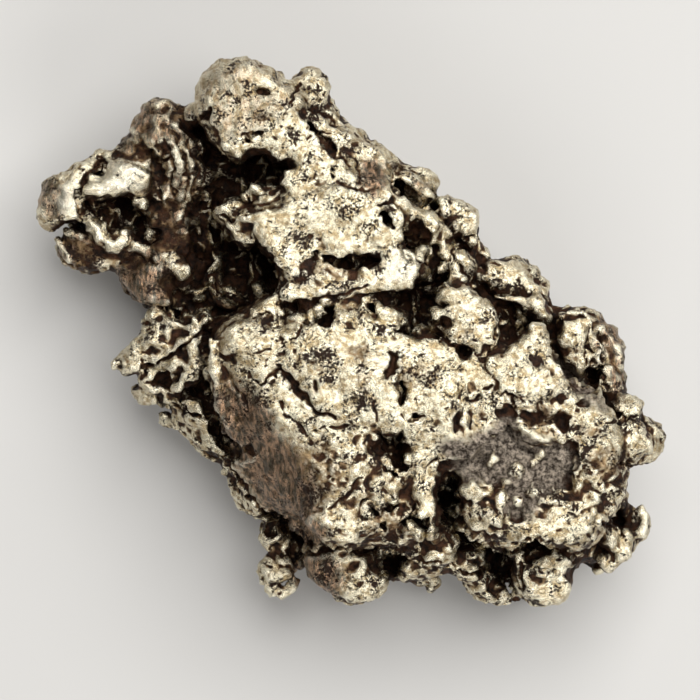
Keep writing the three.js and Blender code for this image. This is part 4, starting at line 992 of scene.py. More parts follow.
def pad(x, y, rx, ry, height):
    found, share = near_spot(x, y, rx * 1.15, ry * 1.15)
    lift[found] = np.maximum(lift[found], height * (1 - smoothstep(0.55, 1.0, share)))
    bright[found] = np.maximum(bright[found], 1 - smoothstep(0.5, 0.9, share))


# A patch laid into the oxide: tarnish on the plates, and painted shade on parts of the arm.
def stain_and_shade(x, y, rx, ry, amount, turn):
    found, share = near_spot(x, y, rx * 1.25, ry * 1.25, turn)
    oxide_and_shade[found] = np.maximum(oxide_and_shade[found], amount * (1 - smoothstep(0.5, 1.0, share)))


# The arm.
crack([(-18.1, 11.5), (-19.0, 9.4), (-18.7, 8.1)], 0.35, 0.7)
pit(-17.4, 11.5, 0.5, 0.6, 0.8)
ridge([(-14.7, 9.4), (-13.9, 8.6)], 0.3, 0.35)
ridge([(-18.7, 8.7), (-17.85, 7.6), (-16.9, 6.6), (-16.2, 5.9), (-15.4, 7.3)], 0.35, 0.35)
ridge([(-20.2, 6.6), (-19.2, 5.2), (-18.3, 4.9)], 0.3, 0.3)
for x in (-13.1, -12.35, -11.45, -10.85, -10.2):
    fold = [(x - 0.3, 13.6), (x - 0.1, 12.5), (x + 0.3, 11.4), (x + 0.1, 10.3), (x + 0.2, 9.2)]
    crack(fold, 0.24, 0.6, 0.9)
pit(-13.2, 12.7, 0.55, 0.45, 0.6)
crack([(-16.3, 3.9), (-15.2, 2.4), (-13.9, 2.0)], 0.3, 0.5)
crack([(-15.9, 5.0), (-14.8, 5.6), (-13.4, 5.0)], 0.35, 0.7)

# The flank and its ledges.
crack([(-9.8, 0.3), (-12.7, -1.7), (-14.4, -2.4)], 0.34, 0.9)
pit(-12.7, -3.1, 0.95, 0.55, 0.8, 15)
crack([(-10.0, -0.4), (-9.9, -2.2), (-9.5, -4.4)], 0.4, 1.0)
crack([(-12.2, -4.9), (-10.6, -5.6), (-9.6, -5.6)], 0.35, 0.8)
crack([(-11.9, -6.6), (-10.6, -8.0), (-9.4, -8.9)], 0.25, 0.5)
crack([(-9.0, -8.4), (-7.6, -10.2), (-6.0, -12.4)], 0.35, 0.7)
crack([(-7.4, -8.2), (-6.7, -8.0), (-6.3, -8.5)], 0.5, 0.5, 0.8)
ridge([(-7.7, -8.8), (-7.1, -8.9), (-6.2, -8.6)], 0.25, 0.35)

# The crown and the neck.
pit(-9.9, 15.3, 0.28, 0.4, 0.6)
pit(-6.5, 13.9, 0.7, 0.16, 0.35, 10)
pit(-6.1, 17.2, 0.5, 0.10, 0.15, 5, 0.5)
crack([(-3.9, 16.0), (-3.3, 17.9)], 0.22, 0.5)
crack([(-2.9, 15.6), (-1.6, 15.5), (-0.9, 14.9)], 0.25, 0.5)
crack([(-1.2, 14.2), (-2.6, 13.9)], 0.2, 0.5)
crack([(-0.8, 10.8), (0.8, 10.1), (2.2, 10.2)], 0.16, 0.35)
crack([(-7.4, 9.9), (-6.4, 9.0), (-4.9, 9.2), (-4.4, 9.9)], 0.22, 0.45)
ridge([(-6.9, 10.2), (-5.9, 9.7), (-5.0, 9.9)], 0.25, 0.3)
crack([(-9.6, 8.4), (-8.2, 7.9), (-6.7, 8.4)], 0.25, 0.6)
crack([(-7.9, 6.0), (-6.2, 5.8), (-4.8, 3.6)], 0.3, 0.5, 0.7)
crack([(0.6, 12.6), (0.9, 10.4)], 0.24, 0.5)
crack([(3.4, 11.2), (3.4, 9.4), (2.4, 8.8)], 0.3, 0.8)
crack([(5.9, 10.4), (6.4, 8.6), (7.6, 6.5), (8.9, 6.9)], 0.3, 0.8)
crack([(7.2, 6.4), (7.5, 5.2), (9.0, 3.4)], 0.28, 0.7)
crack([(4.1, 5.7), (4.8, 5.0)], 0.2, 0.5)
crack([(5.5, 5.9), (5.3, 4.4), (5.0, 3.3)], 0.28, 0.8)

# Over the main plate's upper edge.
crack([(1.6, 3.4), (-0.85, 2.6), (-4.7, 2.1)], 0.30, 0.55)
crack([(6.0, 2.6), (5.8, 0.6), (6.6, -0.4), (7.7, -0.9)], 0.3, 0.8)
crack([(7.7, -0.9), (9.0, -1.5), (9.7, -0.9), (10.3, -0.7)], 0.2, 0.5)
pit(8.1, -1.2, 0.3, 0.32, 0.7)
crack([(10.3, -0.7), (10.6, 0.4)], 0.2, 0.5)

# Cracks and pits of the main plate.
crack([(-3.15, 0.6), (-3.3, -0.1), (-4.1, -0.6)], 0.22, 0.5)
crack([(-4.5, 0.05), (-4.2, -0.8), (-5.4, -1.0), (-6.8, -1.3)], 0.17, 0.4)
crack([
    (-7.1, -2.7), (-6.4, -3.4), (-4.7, -2.7), (-3.9, -3.2), (-3.3, -4.2), (-2.4, -5.3), (-0.85, -5.9),
], 0.27, 0.7)
crack([(-8.2, -3.2), (-7.4, -4.2), (-6.8, -5.3)], 0.25, 0.4, 0.6)
crack([(-4.7, -4.6), (-4.0, -5.8), (-2.7, -7.3)], 0.24, 0.5)
crack([(-2.2, -6.7), (-1.2, -6.4), (0.6, -6.3)], 0.16, 0.4)
pit(-2.2, -3.7, 0.22, 0.45, 0.5)
crack([(3.0, -1.1), (3.5, -1.7), (3.3, -2.5), (2.9, -3.1)], 0.5, 0.9)
pit(-8.3, -1.6, 0.5, 0.3, 0.3, -20, 0.7)
crack([(2.0, -3.9), (1.9, -5.3), (2.3, -6.9)], 0.16, 0.35, 0.7)
crack([(3.9, -5.5), (4.4, -6.0), (5.5, -5.6)], 0.18, 0.5)
pit(7.9, -5.9, 0.28, 0.5, 0.7)
crack([(8.0, -6.3), (8.1, -7.0)], 0.14, 0.4)
pit(8.75, -6.0, 0.16, 0.4, 0.4)
pit(8.2, -8.1, 0.25, 0.16, 0.4)
crack([(8.1, -4.4), (8.7, -4.8), (9.2, -4.3)], 0.25, 0.6)
crack([(9.4, -3.9), (9.9, -3.4), (10.3, -3.9), (10.2, -2.8), (9.6, -2.2)], 0.22, 0.6)
crack([(10.5, -4.1), (11.1, -4.0), (11.5, -4.4), (11.7, -5.0)], 0.22, 0.55)
pit(11.1, -5.7, 0.5, 0.8, 0.5, 10)
pit(13.0, -5.7, 0.75, 0.45, 0.45, -10, 0.8)
pit(15.2, -6.2, 0.5, 0.8, 0.7, 15)
pit(14.6, -4.5, 0.4, 0.25, 0.5)
pit(16.6, -4.9, 0.32, 0.32, 0.6)
crack([(11.3, -6.6), (12.0, -7.6), (13.0, -8.2)], 0.3, 0.6)
ridge([(12.1, -6.7), (12.9, -7.3), (14.1, -7.6)], 0.3, 0.25)
crack([(15.8, -7.4), (15.9, -8.6), (15.6, -10.6)], 0.3, 0.6)
crack([(-1.2, -12.2), (0.0, -11.4), (0.8, -10.0)], 0.2, 0.45, 0.9)
crack([(5.9, -9.3), (6.4, -8.6), (7.2, -8.9)], 0.22, 0.5)

# Patches of the plates that keep a thin brown tarnish, and on the arm, round x -13 to -11, dark
# patches of painted shade where it slopes down from the bright chip to the boulder below.
for x, y, rx, ry, turn, amount in (
    (-1.2, 4.2, 2.8, 0.7, 5, 0.26), (0.9, -1.2, 1.1, 0.9, 0, 0.34), (1.2, -3.6, 0.8, 1.6, 0, 0.28),
    (13.4, -5.9, 1.1, 0.7, 0, 0.42), (-2.2, -9.2, 1.6, 2.6, 25, 0.3), (17.3, -6.9, 0.9, 0.6, 0, 0.36),
    (-6.2, 15.4, 0.9, 0.6, 0, 0.3), (5.0, -3.0, 1.2, 0.9, 0, 0.3), (18.2, -9.0, 1.6, 1.2, 30, 0.32),
    (-13.2, 6.8, 1.7, 1.1, -20, 0.85), (-10.9, 6.2, 1.2, 1.6, 0, 0.85), (-12.2, 3.0, 0.9, 1.3, 30, 0.7),
    (-18.1, 5.6, 0.9, 1.1, -30, 0.7), (-15.0, 5.2, 1.2, 0.6, 0, 0.6), (8.6, 0.2, 0.7, 0.8, 0, 0.3),
    (2.6, -13.2, 2.0, 1.0, 0, 0.3), (-2.4, -1.9, 1.4, 0.8, 0, 0.24),
):
    stain_and_shade(x, y, rx, ry, amount, turn)

# Metal standing in the grey patch.
for x, y, rx, ry in (
    (10.4, -8.9, 0.25, 0.4), (11.8, -9.4, 0.55, 0.4), (11.0, -10.1, 0.35, 0.2), (10.8, -11.7, 0.25, 0.9),
    (13.5, -8.5, 0.2, 0.45), (13.2, -8.95, 0.35, 0.2), (13.3, -11.0, 0.5, 0.35), (9.0, -11.0, 0.75, 0.5),
    (9.45, -12.9, 1.05, 0.9), (10.2, -7.3, 0.3, 0.2), (14.2, -11.6, 0.8, 0.3), (11.9, -11.7, 0.3, 0.3),
):
    pad(x, y, 1.35 * rx, 1.35 * ry, 0.38)

# The right-hand knobs and the lower edge.
crack([(17.0, 0.4), (16.7, -0.8), (16.9, -2.2)], 0.22, 0.7)
crack([(17.7, 0.2), (17.8, -1.2), (17.9, -2.6), (18.3, -4.0)], 0.22, 0.7)
pit(17.4, -2.4, 0.3, 0.4, 0.8)
crack([(16.6, 1.3), (15.0, 0.9), (14.4, 0.2)], 0.22, 0.5)
crack([(18.2, -6.2), (19.2, -6.2), (20.2, -5.7)], 0.25, 0.6)
crack([(19.0, -9.0), (20.2, -9.3)], 0.25, 0.5)
crack([(17.6, -13.2), (19.0, -13.9), (19.4, -14.6)], 0.25, 0.6)
crack([(11.6, -14.6), (12.8, -14.3), (14.8, -15.0), (16.0, -15.6)], 0.28, 0.6)
crack([(12.3, -16.0), (12.2, -17.4), (12.5, -18.4)], 0.3, 0.7)
crack([(7.0, -16.3), (8.4, -16.6), (9.3, -16.4)], 0.3, 0.7)
crack([(3.1, -15.9), (4.4, -15.7), (6.6, -16.0)], 0.25, 0.7)
crack([(3.0, -17.3), (3.0, -16.0)], 0.25, 0.6)
crack([(-2.9, -15.4), (-1.6, -15.0), (0.4, -14.9), (2.2, -15.4)], 0.34, 0.8)
crack([(-4.6, -13.2), (-3.4, -14.2), (-2.9, -15.6)], 0.3, 0.6)

# Every stroke is worn in, or raised, along a line between the skin's own normal and the upright.
SLANT = 0.5
way = normals + (0, 0, SLANT)
way /= np.linalg.norm(way, axis=1)[:, None]
spots += way * (lift - drop)[:, None]


# ---------------------------------------------------------------- grain of the skin
# Weathering left the metal dimpled: broad soft dents, a finer unevenness, and small sharp pits.
# The plates' tops were rubbed nearly flat, so the flanks and the underside keep the most of it.
def plan_mask(shapes, soft=0.35):
    """1 inside any of the turned ovals, 0 outside."""
    mask = np.zeros(len(plan))
    for shape in shapes:
        mask = np.maximum(mask, 1 - smoothstep(1 - soft / 2, 1 + soft / 2, in_oval(*shape)))
    return mask


def inside(outline, where):
    """Whether each place in plan lies inside the outline, by counting the edges to one side of it."""
    crossed = np.zeros(len(where), dtype=bool)
    for (ax, ay), (bx, by) in zip(outline, outline[1:] + outline[:1]):
        if ay != by:
            between_ends = (ay > where[:, 1]) != (by > where[:, 1])
            crossed ^= between_ends & (where[:, 0] < (bx - ax) * (where[:, 1] - ay) / (by - ay) + ax)
    return crossed


# The broad left flank, the arm's end and the boulder under it were rubbed smooth all the same. The
# same mask later lays a brown satin on them, which is partly painted shade.
brushed_and_shaded = plan_mask([
    (-7.0, -6.4, 1.8, 3.6, 30), (-5.0, -9.8, 2.2, 4.4, 36), (-3.0, -13.6, 1.6, 1.3, -35),
    (-20.6, 9.4, 1.2, 1.4, 30), (-14.1, 3.8, 2.2, 1.8, -35), (-2.0, -16.8, 2.0, 1.6, -20),
], soft=0.5)
boulders = plan_mask([
    (1.9, 11.2, 1.6, 2.2, 10), (5.4, 9.7, 1.5, 1.5, 0), (-7.4, 17.0, 4.6, 1.8, 0),
], soft=0.6)
worn_top = smoothstep(0.55, 0.9, normals[:, 2]) * smoothstep(9.0, 13.5, spots[:, 2])
# Patches brightened as polished: the arm's top, the knob's facet turned to the key light and a spot at the
# neck's right edge. Their brightness is partly painted highlight.
burnished_and_highlit = plan_mask([
    (-15.8, 10.9, 2.1, 1.1, 15), (-19.4, 9.5, 0.8, 1.3, 0), (3.9, 4.6, 1.3, 1.2, 0),
], soft=0.6)
smooth = np.maximum(np.maximum(brushed_and_shaded, boulders), burnished_and_highlit)
unworn = (1 - worn_top) * (1 - 0.8 * smooth)
# Each step of the grain is a height in millimetres times a noise of a certain width.
grain = 0.10 * noise(spots, 1.6, 2.3) + 0.06 * noise(spots, 0.7, 5.9)
grain += (0.06 + 0.045 * unworn) * noise(spots, 0.36, 7.7) + 0.03 * noise(spots, 0.2, 3.3)

# Which points lie in the hollows, and how much oxide each hollow keeps.
seat = spots[:, :2] - (ORIGIN_X, ORIGIN_Y) + 0.12 * wobble
sunken = np.zeros(len(spots))
lining = np.zeros(len(spots))
for outline, rim, dark in sunk:
    here = inside(outline, seat) & (spots[:, 2] < rim - 0.35)
    lining[here] = np.maximum(lining[here], dark)
    sunken[here & (dark > 0)] = 1.0
sunken, lining = blurred(np.stack([sunken, lining], axis=1), net_of(stone), 3).T

# Scales and folds on the unworn skin, and pleats down in the hollows. Their places are bent first,
# so that none of them comes out regular.
warped = spots + 0.4 * drift(spots, 0.9, 4.4, 6.1, 8.3)
ragged = warped + 0.16 * drift(spots, 0.3, 2.2, 5.1, 7.4)
scales = 0.55 - cells(ragged, 1.25, 1.7)
grain += (0.04 + 0.20 * unworn) * scales
folds = 0.5 - np.abs(noise(warped * (1.0, 1.0, 0.6), 0.8, 3.6))
grain += 0.36 * unworn * folds
pleats = 0.25 - np.abs(noise(warped * (1.0, 0.5, 0.6), 1.3, 5.3))
small_pleats = 0.25 - np.abs(noise(ragged * (1.0, 0.6, 0.6), 0.7, 2.9))
grain += sunken * (1.8 * pleats + 0.8 * small_pleats)

# Some parts of the plates are knobbly, and oxide stays between the knots.
knobbly = plan_mask([
    (1.0, -10.4, 4.2, 4.4, 0), (13.8, -5.6, 3.6, 1.2, -20), (17.0, -10.6, 2.2, 3.4, 20),
    (5.0, -14.6, 4.0, 1.6, 0), (9.4, -13.2, 1.8, 1.8, 0), (-1.4, 4.2, 3.0, 1.0, 5),
], soft=0.7)
knots = cells(ragged, 0.95, 3.7)
grain += knobbly * 0.55 * (0.45 - knots)
gaps = smoothstep(0.58, 0.85, cells(ragged, 0.55, 6.6))
oxide_and_shade = np.maximum(oxide_and_shade, 0.7 * knobbly * gaps * (normals[:, 2] > 0.1))

# Small sharp pits come in swarms and hold oxide. Broad thumbprints mark the lower walls, except on
# the slender parts.
pocks = smoothstep(0.30, 0.12, cells(ragged, 0.62, 9.2)) * smoothstep(-0.10, 0.40, noise(spots, 2.4, 1.1))
pocks *= 1 - smooth
grain -= 0.13 * pocks
oxide_and_shade = np.maximum(oxide_and_shade, 0.9 * pocks)
thumbprints = smoothstep(-0.1, 0.55, noise(spots, 2.7, 4.7))
thumbprints += 0.5 * smoothstep(0.0, 0.5, noise(spots, 1.3, 8.2))
slender = plan_mask([
    (-5.0, -15.6, 2.6, 3.4, 0), (-18.5, 6.5, 5.0, 5.0, 0), (20.3, -13.5, 2.2, 3.0, 0),
], soft=0.5)
walls = smoothstep(0.6, 0.2, normals[:, 2]) * smoothstep(9.5, 6.5, spots[:, 2]) * (1 - slender)
grain -= 0.6 * thumbprints * walls

# Where it rests the skin is only dented, so the stone stays on its high spots.
resting = smoothstep(0.25, 0.9, spots[:, 2])
grain = np.where(grain > 0, grain * resting, grain * (0.45 + 0.55 * resting))
move_points(stone, spots + normals * grain[:, None])

# The remeshed net is pinched in a few places: those points are cut out and closed over while the
# net is still fine.
select_only(stone)
bpy.ops.object.mode_set(mode="EDIT")
bpy.ops.mesh.select_mode(type="VERT")
for again in range(3):
    bpy.ops.mesh.select_all(action="DESELECT")
    bpy.ops.mesh.select_non_manifold()
    bpy.ops.mesh.delete(type="VERT")
    bpy.ops.mesh.select_all(action="SELECT")
    bpy.ops.mesh.delete_loose(use_verts=True, use_edges=True, use_faces=False)
    bpy.ops.mesh.select_all(action="DESELECT")
    bpy.ops.mesh.select_non_manifold()
    bpy.ops.mesh.fill_holes(sides=0)
bpy.ops.object.mode_set(mode="OBJECT")


# ---------------------------------------------------------------- where metal is bright, where oxide stays, and painted shade and highlight
# Handling and cleaning brightened what stands proud, and brown oxide stays where nothing rubs: in
# cracks and pits and deep under the lips. On steep flanks turned from the key light and where the
# sky is shut out, painted shade is laid in with it, and a painted highlight goes on what stands
# proud. Both are kept on the points.
spots, normals = points_of(stone)
ends = net_of(stone)
count = len(spots)
near_form = blurred(spots, ends, 14)
wide_form = blurred(near_form, ends, 70)
small_proud = np.sum((spots - near_form) * normals, axis=1)
broad_proud = np.sum((spots - wide_form) * normals, axis=1)

# How far the sky is shut out, from a map of the highest point over each small square.
SQUARE = 0.25
MARGIN = 8.0
EMPTY = -50.0
WAYS = 12
REACHES = (0.4, 0.7, 1.1, 1.6, 2.3, 3.2, 4.5, 6.5)
low_corner = spots[:, :2].min(axis=0) - MARGIN
columns, rows = (np.ceil((spots[:, :2].max(axis=0) + MARGIN - low_corner) / SQUARE)).astype(int)


def shut_in(height):
    """How far what stands round each point hides the sky: over all ways, and over the open half."""
    square = ((spots[:, :2] - low_corner) / SQUARE).astype(int)
    top = np.full((columns, rows), EMPTY)
    np.maximum.at(top, (square[:, 0], square[:, 1]), height)
    shut = []
    for n in range(WAYS):
        turn = 2 * math.pi * (n + 0.5) / WAYS
        steepest = np.zeros(count)
        for reach in REACHES:
            i = square[:, 0] + round(reach * math.cos(turn) / SQUARE)
            j = square[:, 1] + round(reach * math.sin(turn) / SQUARE)
            steepest = np.maximum(steepest, (top[i, j] - height) / reach)
        shut.append(steepest / np.sqrt(1 + steepest * steepest))
    shut = np.sort(shut, axis=0)
    return np.stack([shut.mean(axis=0), shut[: WAYS // 2].mean(axis=0)], axis=1)


facing_up = normals[:, 2:] > 0
shelter, back_to_wall = blurred(np.where(facing_up, shut_in(spots[:, 2]), shut_in(-spots[:, 2])), ends, 3).T
open_side = smoothstep(0.40, 0.12, back_to_wall) * (1 - smoothstep(0.3, 0.8, normals[:, 2]))

# Oxide holds in dips and where the sky is shut out, and the darkening there is partly painted shade;
# on steep flanks that face away from the key light the added darkness is painted shade.
# The key light's way in plan: flanks turned from it take painted shade.
KEY_LIGHT_FROM = (0.6, 0.8, 0)
flank = 1 - smoothstep(0.05, 0.75, normals[:, 2])
away_from_key_light = 0.5 - 0.5 * normals @ KEY_LIGHT_FROM
held_and_shaded = 1.5 * shelter + 0.36 * flank * away_from_key_light - 4.5 * small_proud - 0.7 * broad_proud - 0.5 * open_side
held_and_shaded += 0.12 * noise(spots, 0.8, 9.1) + 0.10 * noise(spots, 0.3, 6.3)
held_and_shaded = smoothstep(0.42, 1.1, held_and_shaded) * (1 - 0.75 * smooth)
oxide_and_shade = np.maximum(oxide_and_shade * (normals[:, 2] > -0.2), held_and_shaded)
lining *= 1 - 0.8 * smoothstep(0.01, 0.08, small_proud)
oxide_and_shade = np.maximum(oxide_and_shade, lining * (normals[:, 2] > -0.3))
oxide_and_shade = np.clip(oxide_and_shade - 0.6 * bright * smoothstep(0.4, 0.0, shelter), 0, 1)


def keep(name, values):
    attribute = stone.data.attributes.new(name, "FLOAT", "POINT")
    attribute.data.foreach_set("value", values.astype(np.float32))


# The grey patch and a grey band, the satin flanks and folds, whose brown is partly painted shade on
# the left flank, and what is polished brightest, which also takes a painted highlight.
grey_patch = plan_mask([
    (11.2, -8.5, 3.4, 1.7, -12), (13.6, -9.2, 2.2, 1.9, 0), (9.4, -8.9, 1.9, 1.6, 0),
    (10.9, -6.9, 1.0, 0.9, 0), (12.2, -11.4, 1.4, 1.6, 20), (8.0, -7.9, 1.6, 0.6, -10),
])
grey_patch *= (normals[:, 2] > 0.2) * (1 - bright)
band = plan_mask([(15.4, -2.6, 1.6, 0.5, -42), (17.2, -4.6, 1.5, 0.45, -35)])
grey = np.maximum(grey_patch, 0.8 * band * (normals[:, 2] > 0.1))
folded = plan_mask([
    (-12.7, 12.6, 3.0, 4.2, 12), (-13.4, 7.2, 3.2, 2.4, -20), (-19.0, 5.8, 1.8, 1.5, -30),
    (18.4, -1.8, 1.1, 3.6, 10), (1.7, 11.0, 1.0, 1.3, 0), (4.6, 10.0, 1.1, 0.9, -40),
], soft=0.5)
folded *= 1 - plan_mask([
    (-16.0, 10.8, 2.4, 1.2, 15), (-12.1, 4.9, 1.1, 0.7, -40), (-16.6, 6.8, 1.5, 0.6, -40),
])
folded *= 1 - 0.8 * smoothstep(0.03, 0.10, small_proud)
# Painted shade: the brown satin on the brushed left flank and the arm's end stands partly for the shade of
# faces turned from the key light.
satin_and_shade = np.maximum(brushed_and_shaded, folded)
oxide_and_shade *= 1 - 0.25 * folded
oxide_and_shade *= (1 - 0.8 * sunken * smoothstep(0.0, 0.06, small_proud)) * (1 - 0.7 * burnished_and_highlit)
# Partly real polish from handling, partly painted highlight: crests that stand proud and open, and the
# burnished patches.
polish_and_highlight = np.maximum(smoothstep(0.04, 0.14, small_proud) * smoothstep(0.7, 0.25, shelter), burnished_and_highlit)
streaked = plan_mask([(-6.9, 15.5, 3.2, 1.5, 15), (-8.0, 17.8, 2.4, 1.2, 20)], soft=1.0)
satin_and_shade = np.maximum(satin_and_shade, 0.45 * streaked)
satin_and_shade *= 1 - 0.2 * plan_mask([(-20.6, 9.4, 1.8, 2.0, 30)])
keep("oxide_and_shade", oxide_and_shade)
keep("grey_oxide", grey)
keep("satin_and_shade", satin_and_shade * (1 - grey))
keep("polish_and_highlight", polish_and_highlight)

# A coarser net is enough for the object's mesh. The underside is thinned on its own, so that the
# steep walls don't take its share.
TRIANGLES = 196000
RESTING_SIDE = 30000
select_only(stone)
bpy.ops.object.mode_set(mode="EDIT")
bpy.ops.mesh.select_mode(type="VERT")
bpy.ops.mesh.select_all(action="SELECT")
bpy.ops.mesh.quads_convert_to_tris()
bpy.ops.mesh.select_all(action="DESELECT")
bpy.ops.object.mode_set(mode="OBJECT")


def touched():
    """How many triangles have a selected point."""
    bpy.ops.object.mode_set(mode="OBJECT")
    picked = np.empty(len(stone.data.vertices), dtype=bool)
    stone.data.vertices.foreach_get("select", picked)
    corners = np.empty(len(stone.data.loops), dtype=np.int32)
    stone.data.loops.foreach_get("vertex_index", corners)
    bpy.ops.object.mode_set(mode="EDIT")
    return picked[corners].reshape(-1, 3).any(axis=1).sum()


below = blurred(normals[:, 2:], ends, 6)[:, 0] < -0.5
stone.data.vertices.foreach_set("select", below)
ends = net_of(stone)
stone.data.edges.foreach_set("select", np.all(below[ends], axis=1))
bpy.ops.object.mode_set(mode="EDIT")
bpy.ops.mesh.decimate(ratio=RESTING_SIDE / touched())
bpy.ops.mesh.select_all(action="INVERT")
others = touched()
underside = len(stone.data.polygons) - others
bpy.ops.mesh.decimate(ratio=(TRIANGLES - underside) / others)

# Thinning leaves a few fins, faces with a free edge, and a pinched edge or two. The fins are cut
# off, and the pinched points are cut out and closed over.
for again in range(2):
    bpy.ops.mesh.select_mode(type="EDGE")
    bpy.ops.mesh.select_all(action="DESELECT")
    bpy.ops.mesh.select_non_manifold(
        use_wire=False, use_boundary=True, use_multi_face=False, use_non_contiguous=False, use_verts=False
    )
    bpy.ops.mesh.select_mode(use_expand=True, type="FACE")
    bpy.ops.mesh.delete(type="FACE")
    bpy.ops.mesh.select_mode(type="VERT")
    bpy.ops.mesh.select_non_manifold()
    bpy.ops.mesh.delete(type="VERT")
    bpy.ops.mesh.select_non_manifold()
    bpy.ops.mesh.fill_holes(sides=0)
    bpy.ops.mesh.select_all(action="SELECT")
    bpy.ops.mesh.quads_convert_to_tris()

# Flakes that hold on to nothing are taken away, and nothing reaches below what it rests on.
bpy.ops.mesh.select_all(action="DESELECT")
bpy.ops.object.mode_set(mode="OBJECT")
lowest = min(stone.data.vertices, key=lambda point: point.co.z)
lowest.select = True
bpy.ops.object.mode_set(mode="EDIT")
bpy.ops.mesh.select_linked()
bpy.ops.mesh.select_all(action="INVERT")
bpy.ops.mesh.delete(type="VERT")
bpy.ops.object.mode_set(mode="OBJECT")
spots = points_of(stone)[0]
spots[:, 2] = np.maximum(spots[:, 2], 0)
move_points(stone, spots)

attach(stone, "root")
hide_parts("meteorite")


# ---------------------------------------------------------------- etched nickel-iron and its oxide
# Nickel-iron rubbed bright is a pale champagne metal, with a dark speck wherever a grain of oxide
# stays in a pit. Oxide is a dull brown that takes the shine away, and one patch is ash grey.
def linear(hex_colour):
    channels = [int(hex_colour[n : n + 2], 16) / 255 for n in (1, 3, 5)]
    return tuple(c / 12.92 if c <= 0.04045 else ((c + 0.055) / 1.055) ** 2.4 for c in channels) + (1,)


iron = bpy.data.materials.new("nickel_iron_etched")
iron.use_nodes = True
tree = iron.node_tree
tree.nodes.clear()


def add(kind, links, out=0, **settings):
    """Adds a node and gives one of its outputs. Links sets its inputs, each to a socket or a value."""
    node = tree.nodes.new("ShaderNode" + kind)
    for name, value in settings.items():
        setattr(node, name, value)
    for key, value in links.items():
        if isinstance(value, bpy.types.NodeSocket):
            tree.links.new(value, node.inputs[key])
        else:
            node.inputs[key].default_value = value
    return node.outputs[out] if node.outputs else node


def stored(name):
    return add("Attribute", {}, "Fac", attribute_name=name)


def speckle(where, width, detail, unevenness):
    """Noise with lumps about width millimetres wide."""
    links = {"Vector": where, "Scale": 1 / (width * MM), "Detail": detail, "Roughness": unevenness}
    return add("TexNoise", links)


def ramp(value, low, high):
    """0 below low, 1 above high, and a smooth rise between them."""
    return add("MapRange", {0: value, 1: low, 2: high}, interpolation_type="SMOOTHSTEP")


def between(value, at_zero, at_one):
    return add("MapRange", {0: value, 3: at_zero, 4: at_one})


def blend(share, under, over):
    return add("Mix", {0: share, 6: under, 7: over}, 2, data_type="RGBA")


def work(operation, *values):
    return add("Math", dict(enumerate(values)), operation=operation)


place = add("TexCoord", {}, "Object")
oxide_and_shade_share = stored("oxide_and_shade")
grey_share = stored("grey_oxide")
satin_and_shade_share = stored("satin_and_shade")
polish_and_highlight_share = stored("polish_and_highlight")

# Flecks of oxide 0.1 to 0.3 mm across pepper the metal, thick in some places and few in others.
fleck = speckle(place, 0.20, 6.0, 0.74)
line = work("MULTIPLY_ADD", speckle(place, 1.3, 3.0, 0.55), -0.68, 0.920)
line = work("MULTIPLY_ADD", polish_and_highlight_share, 0.06, line)
line = work("MULTIPLY_ADD", oxide_and_shade_share, -0.13, line)
flecks = ramp(work("SUBTRACT", fleck, line), -0.018, 0.022)

# Bare metal, from its duller grain to where it is rubbed brightest.
tone = ramp(speckle(place, 0.55, 5.0, 0.68), 0.36, 0.60)
colour = blend(tone, linear("#b09b74"), linear("#f3eace"))

# The rubbed flanks are a brown satin, streaked along their fall. On the left flank and the arm's
# end, turned from the key light, that brown is partly painted shade.
across = add("Mapping", {"Vector": place, "Rotation": (0, 0, math.radians(-35)), "Scale": (1.0, 0.25, 1.0)})
streaks = ramp(speckle(across, 0.30, 4.0, 0.65), 0.41, 0.62)
brown = blend(streaks, linear("#1f120a"), linear("#a6856b"))
colour = blend(work("MULTIPLY", satin_and_shade_share, 0.9), colour, brown)
# Painted highlight: what stands proud and the burnished patches are blended up to halfway toward a near-white
# highlight colour.
colour = blend(work("MULTIPLY", polish_and_highlight_share, 0.5), colour, linear("#fffae6"))

# Oxide, and the painted shade laid in with it, thins out to a tarnish at its edges, and breaks up
# there along the grain. The tarnish and crust colours also paint that shade.
cover_and_shade = work("ADD", oxide_and_shade_share, work("MULTIPLY_ADD", fleck, 0.9, -0.45))
tarnished_and_shaded = ramp(cover_and_shade, 0.16, 0.42)
oxidised_and_shaded = ramp(cover_and_shade, 0.42, 0.74)
film_and_shade = ramp(speckle(place, 0.40, 4.0, 0.65), 0.36, 0.66)
film_and_shade = blend(film_and_shade, linear("#3b271a"), linear("#a58a66"))
colour = blend(tarnished_and_shaded, colour, film_and_shade)
crust_and_shade = ramp(speckle(place, 0.50, 4.0, 0.65), 0.36, 0.66)
crust_and_shade = blend(crust_and_shade, linear("#120904"), linear("#4b2f1c"))
colour = blend(flecks, colour, linear("#291a10"))
colour = blend(oxidised_and_shaded, colour, crust_and_shade)

# The grey patch is a rougher, paler oxide.
ash = ramp(speckle(place, 0.35, 5.0, 0.78), 0.39, 0.64)
ash = blend(ash, linear("#30261e"), linear("#ada08f"))
colour = blend(grey_share, colour, ash)

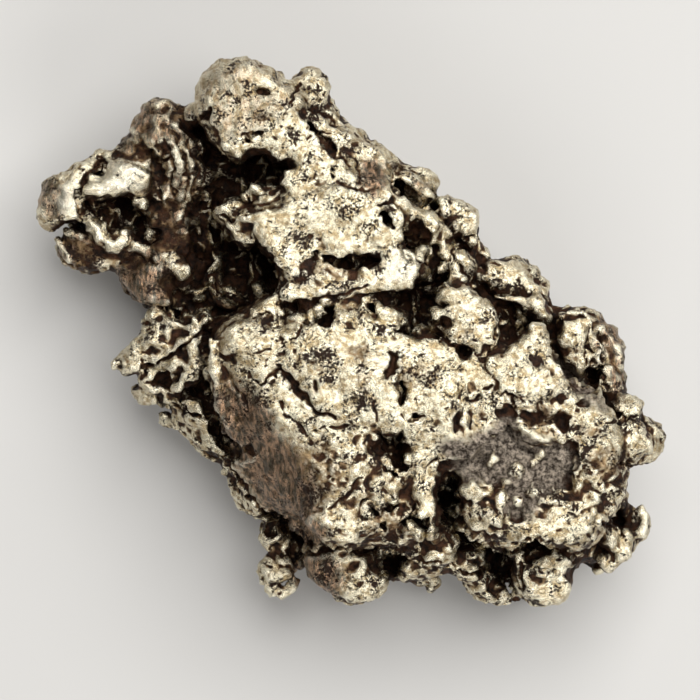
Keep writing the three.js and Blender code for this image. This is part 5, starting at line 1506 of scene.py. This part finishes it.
# Oxide takes the shine away, and the bare metal is finely etched.
dull = work("MAXIMUM", work("MAXIMUM", oxidised_and_shaded, grey_share), flecks)
height = work("MULTIPLY_ADD", flecks, -0.35, speckle(place, 0.22, 5.0, 0.8))
shader = add("BsdfPrincipled", {
    "Base Color": colour,
    "Metallic": between(dull, 1.0, 0.7),
    "Roughness": work("MULTIPLY_ADD", tarnished_and_shaded, 0.05, between(dull, 0.27, 0.48)),
    "Normal": add("Bump", {"Height": height, "Strength": 0.85, "Distance": 0.09 * MM}),
})
add("OutputMaterial", {"Surface": shader})

stone.data.materials.clear()
stone.data.materials.append(iron)
select_only(stone)
bpy.ops.object.shade_smooth()


# ---------------------------------------------------------------- the floor
# A pale card that the stone lies on. It only dresses the picture and is no part of the object.
FLOOR_SIZE = 0.6
bpy.ops.object.select_all(action="DESELECT")
bpy.ops.mesh.primitive_plane_add(size=FLOOR_SIZE, location=(0, 0, 0))
floor = bpy.context.object
floor.name = "floor"
paper = bpy.data.materials.new("pale_card")
paper.use_nodes = True
card = paper.node_tree.nodes["Principled BSDF"].inputs
card["Base Color"].default_value = (0.56, 0.55, 0.53, 1)
card["Roughness"].default_value = 0.8
floor.data.materials.append(paper)


# ---------------------------------------------------------------- light and camera
# A large soft light stands above, behind and to the right, a weaker one fills from the front, and
# dim grey light comes from all round. The camera is at the eye that the strokes were placed for,
# and looks straight down.
LAMP_AIM = (0, 0, 0.008)


def area_light(name, place, size, power):
    bpy.ops.object.light_add(type="AREA", location=place)
    lamp = bpy.context.object
    lamp.name = name
    lamp.data.size = size
    lamp.data.energy = power
    direction = Vector(LAMP_AIM) - Vector(place)
    lamp.rotation_euler = direction.to_track_quat("-Z", "Y").to_euler()


area_light("softbox", (0.15, 0.20, 0.46), 0.50, 4.0)
area_light("fill", (0.10, -0.42, 0.26), 0.30, 1.1)

world = bpy.data.worlds.new("studio")
world.use_nodes = True
sky = world.node_tree.nodes["Background"].inputs
sky["Color"].default_value = (0.34, 0.33, 0.32, 1)
sky["Strength"].default_value = 0.6
bpy.context.scene.world = world
bpy.context.scene.view_settings.view_transform = "Standard"

camera_data = bpy.data.cameras.new("camera")
camera_data.lens = 250
camera_data.sensor_width = 36
camera_data.clip_start = 0.01
camera = bpy.data.objects.new("camera", camera_data)
bpy.context.scene.collection.objects.link(camera)
camera.location = ((EYE_X + ORIGIN_X) * MM, (EYE_Y + ORIGIN_Y) * MM, EYE_HEIGHT * MM)
bpy.context.scene.camera = camera
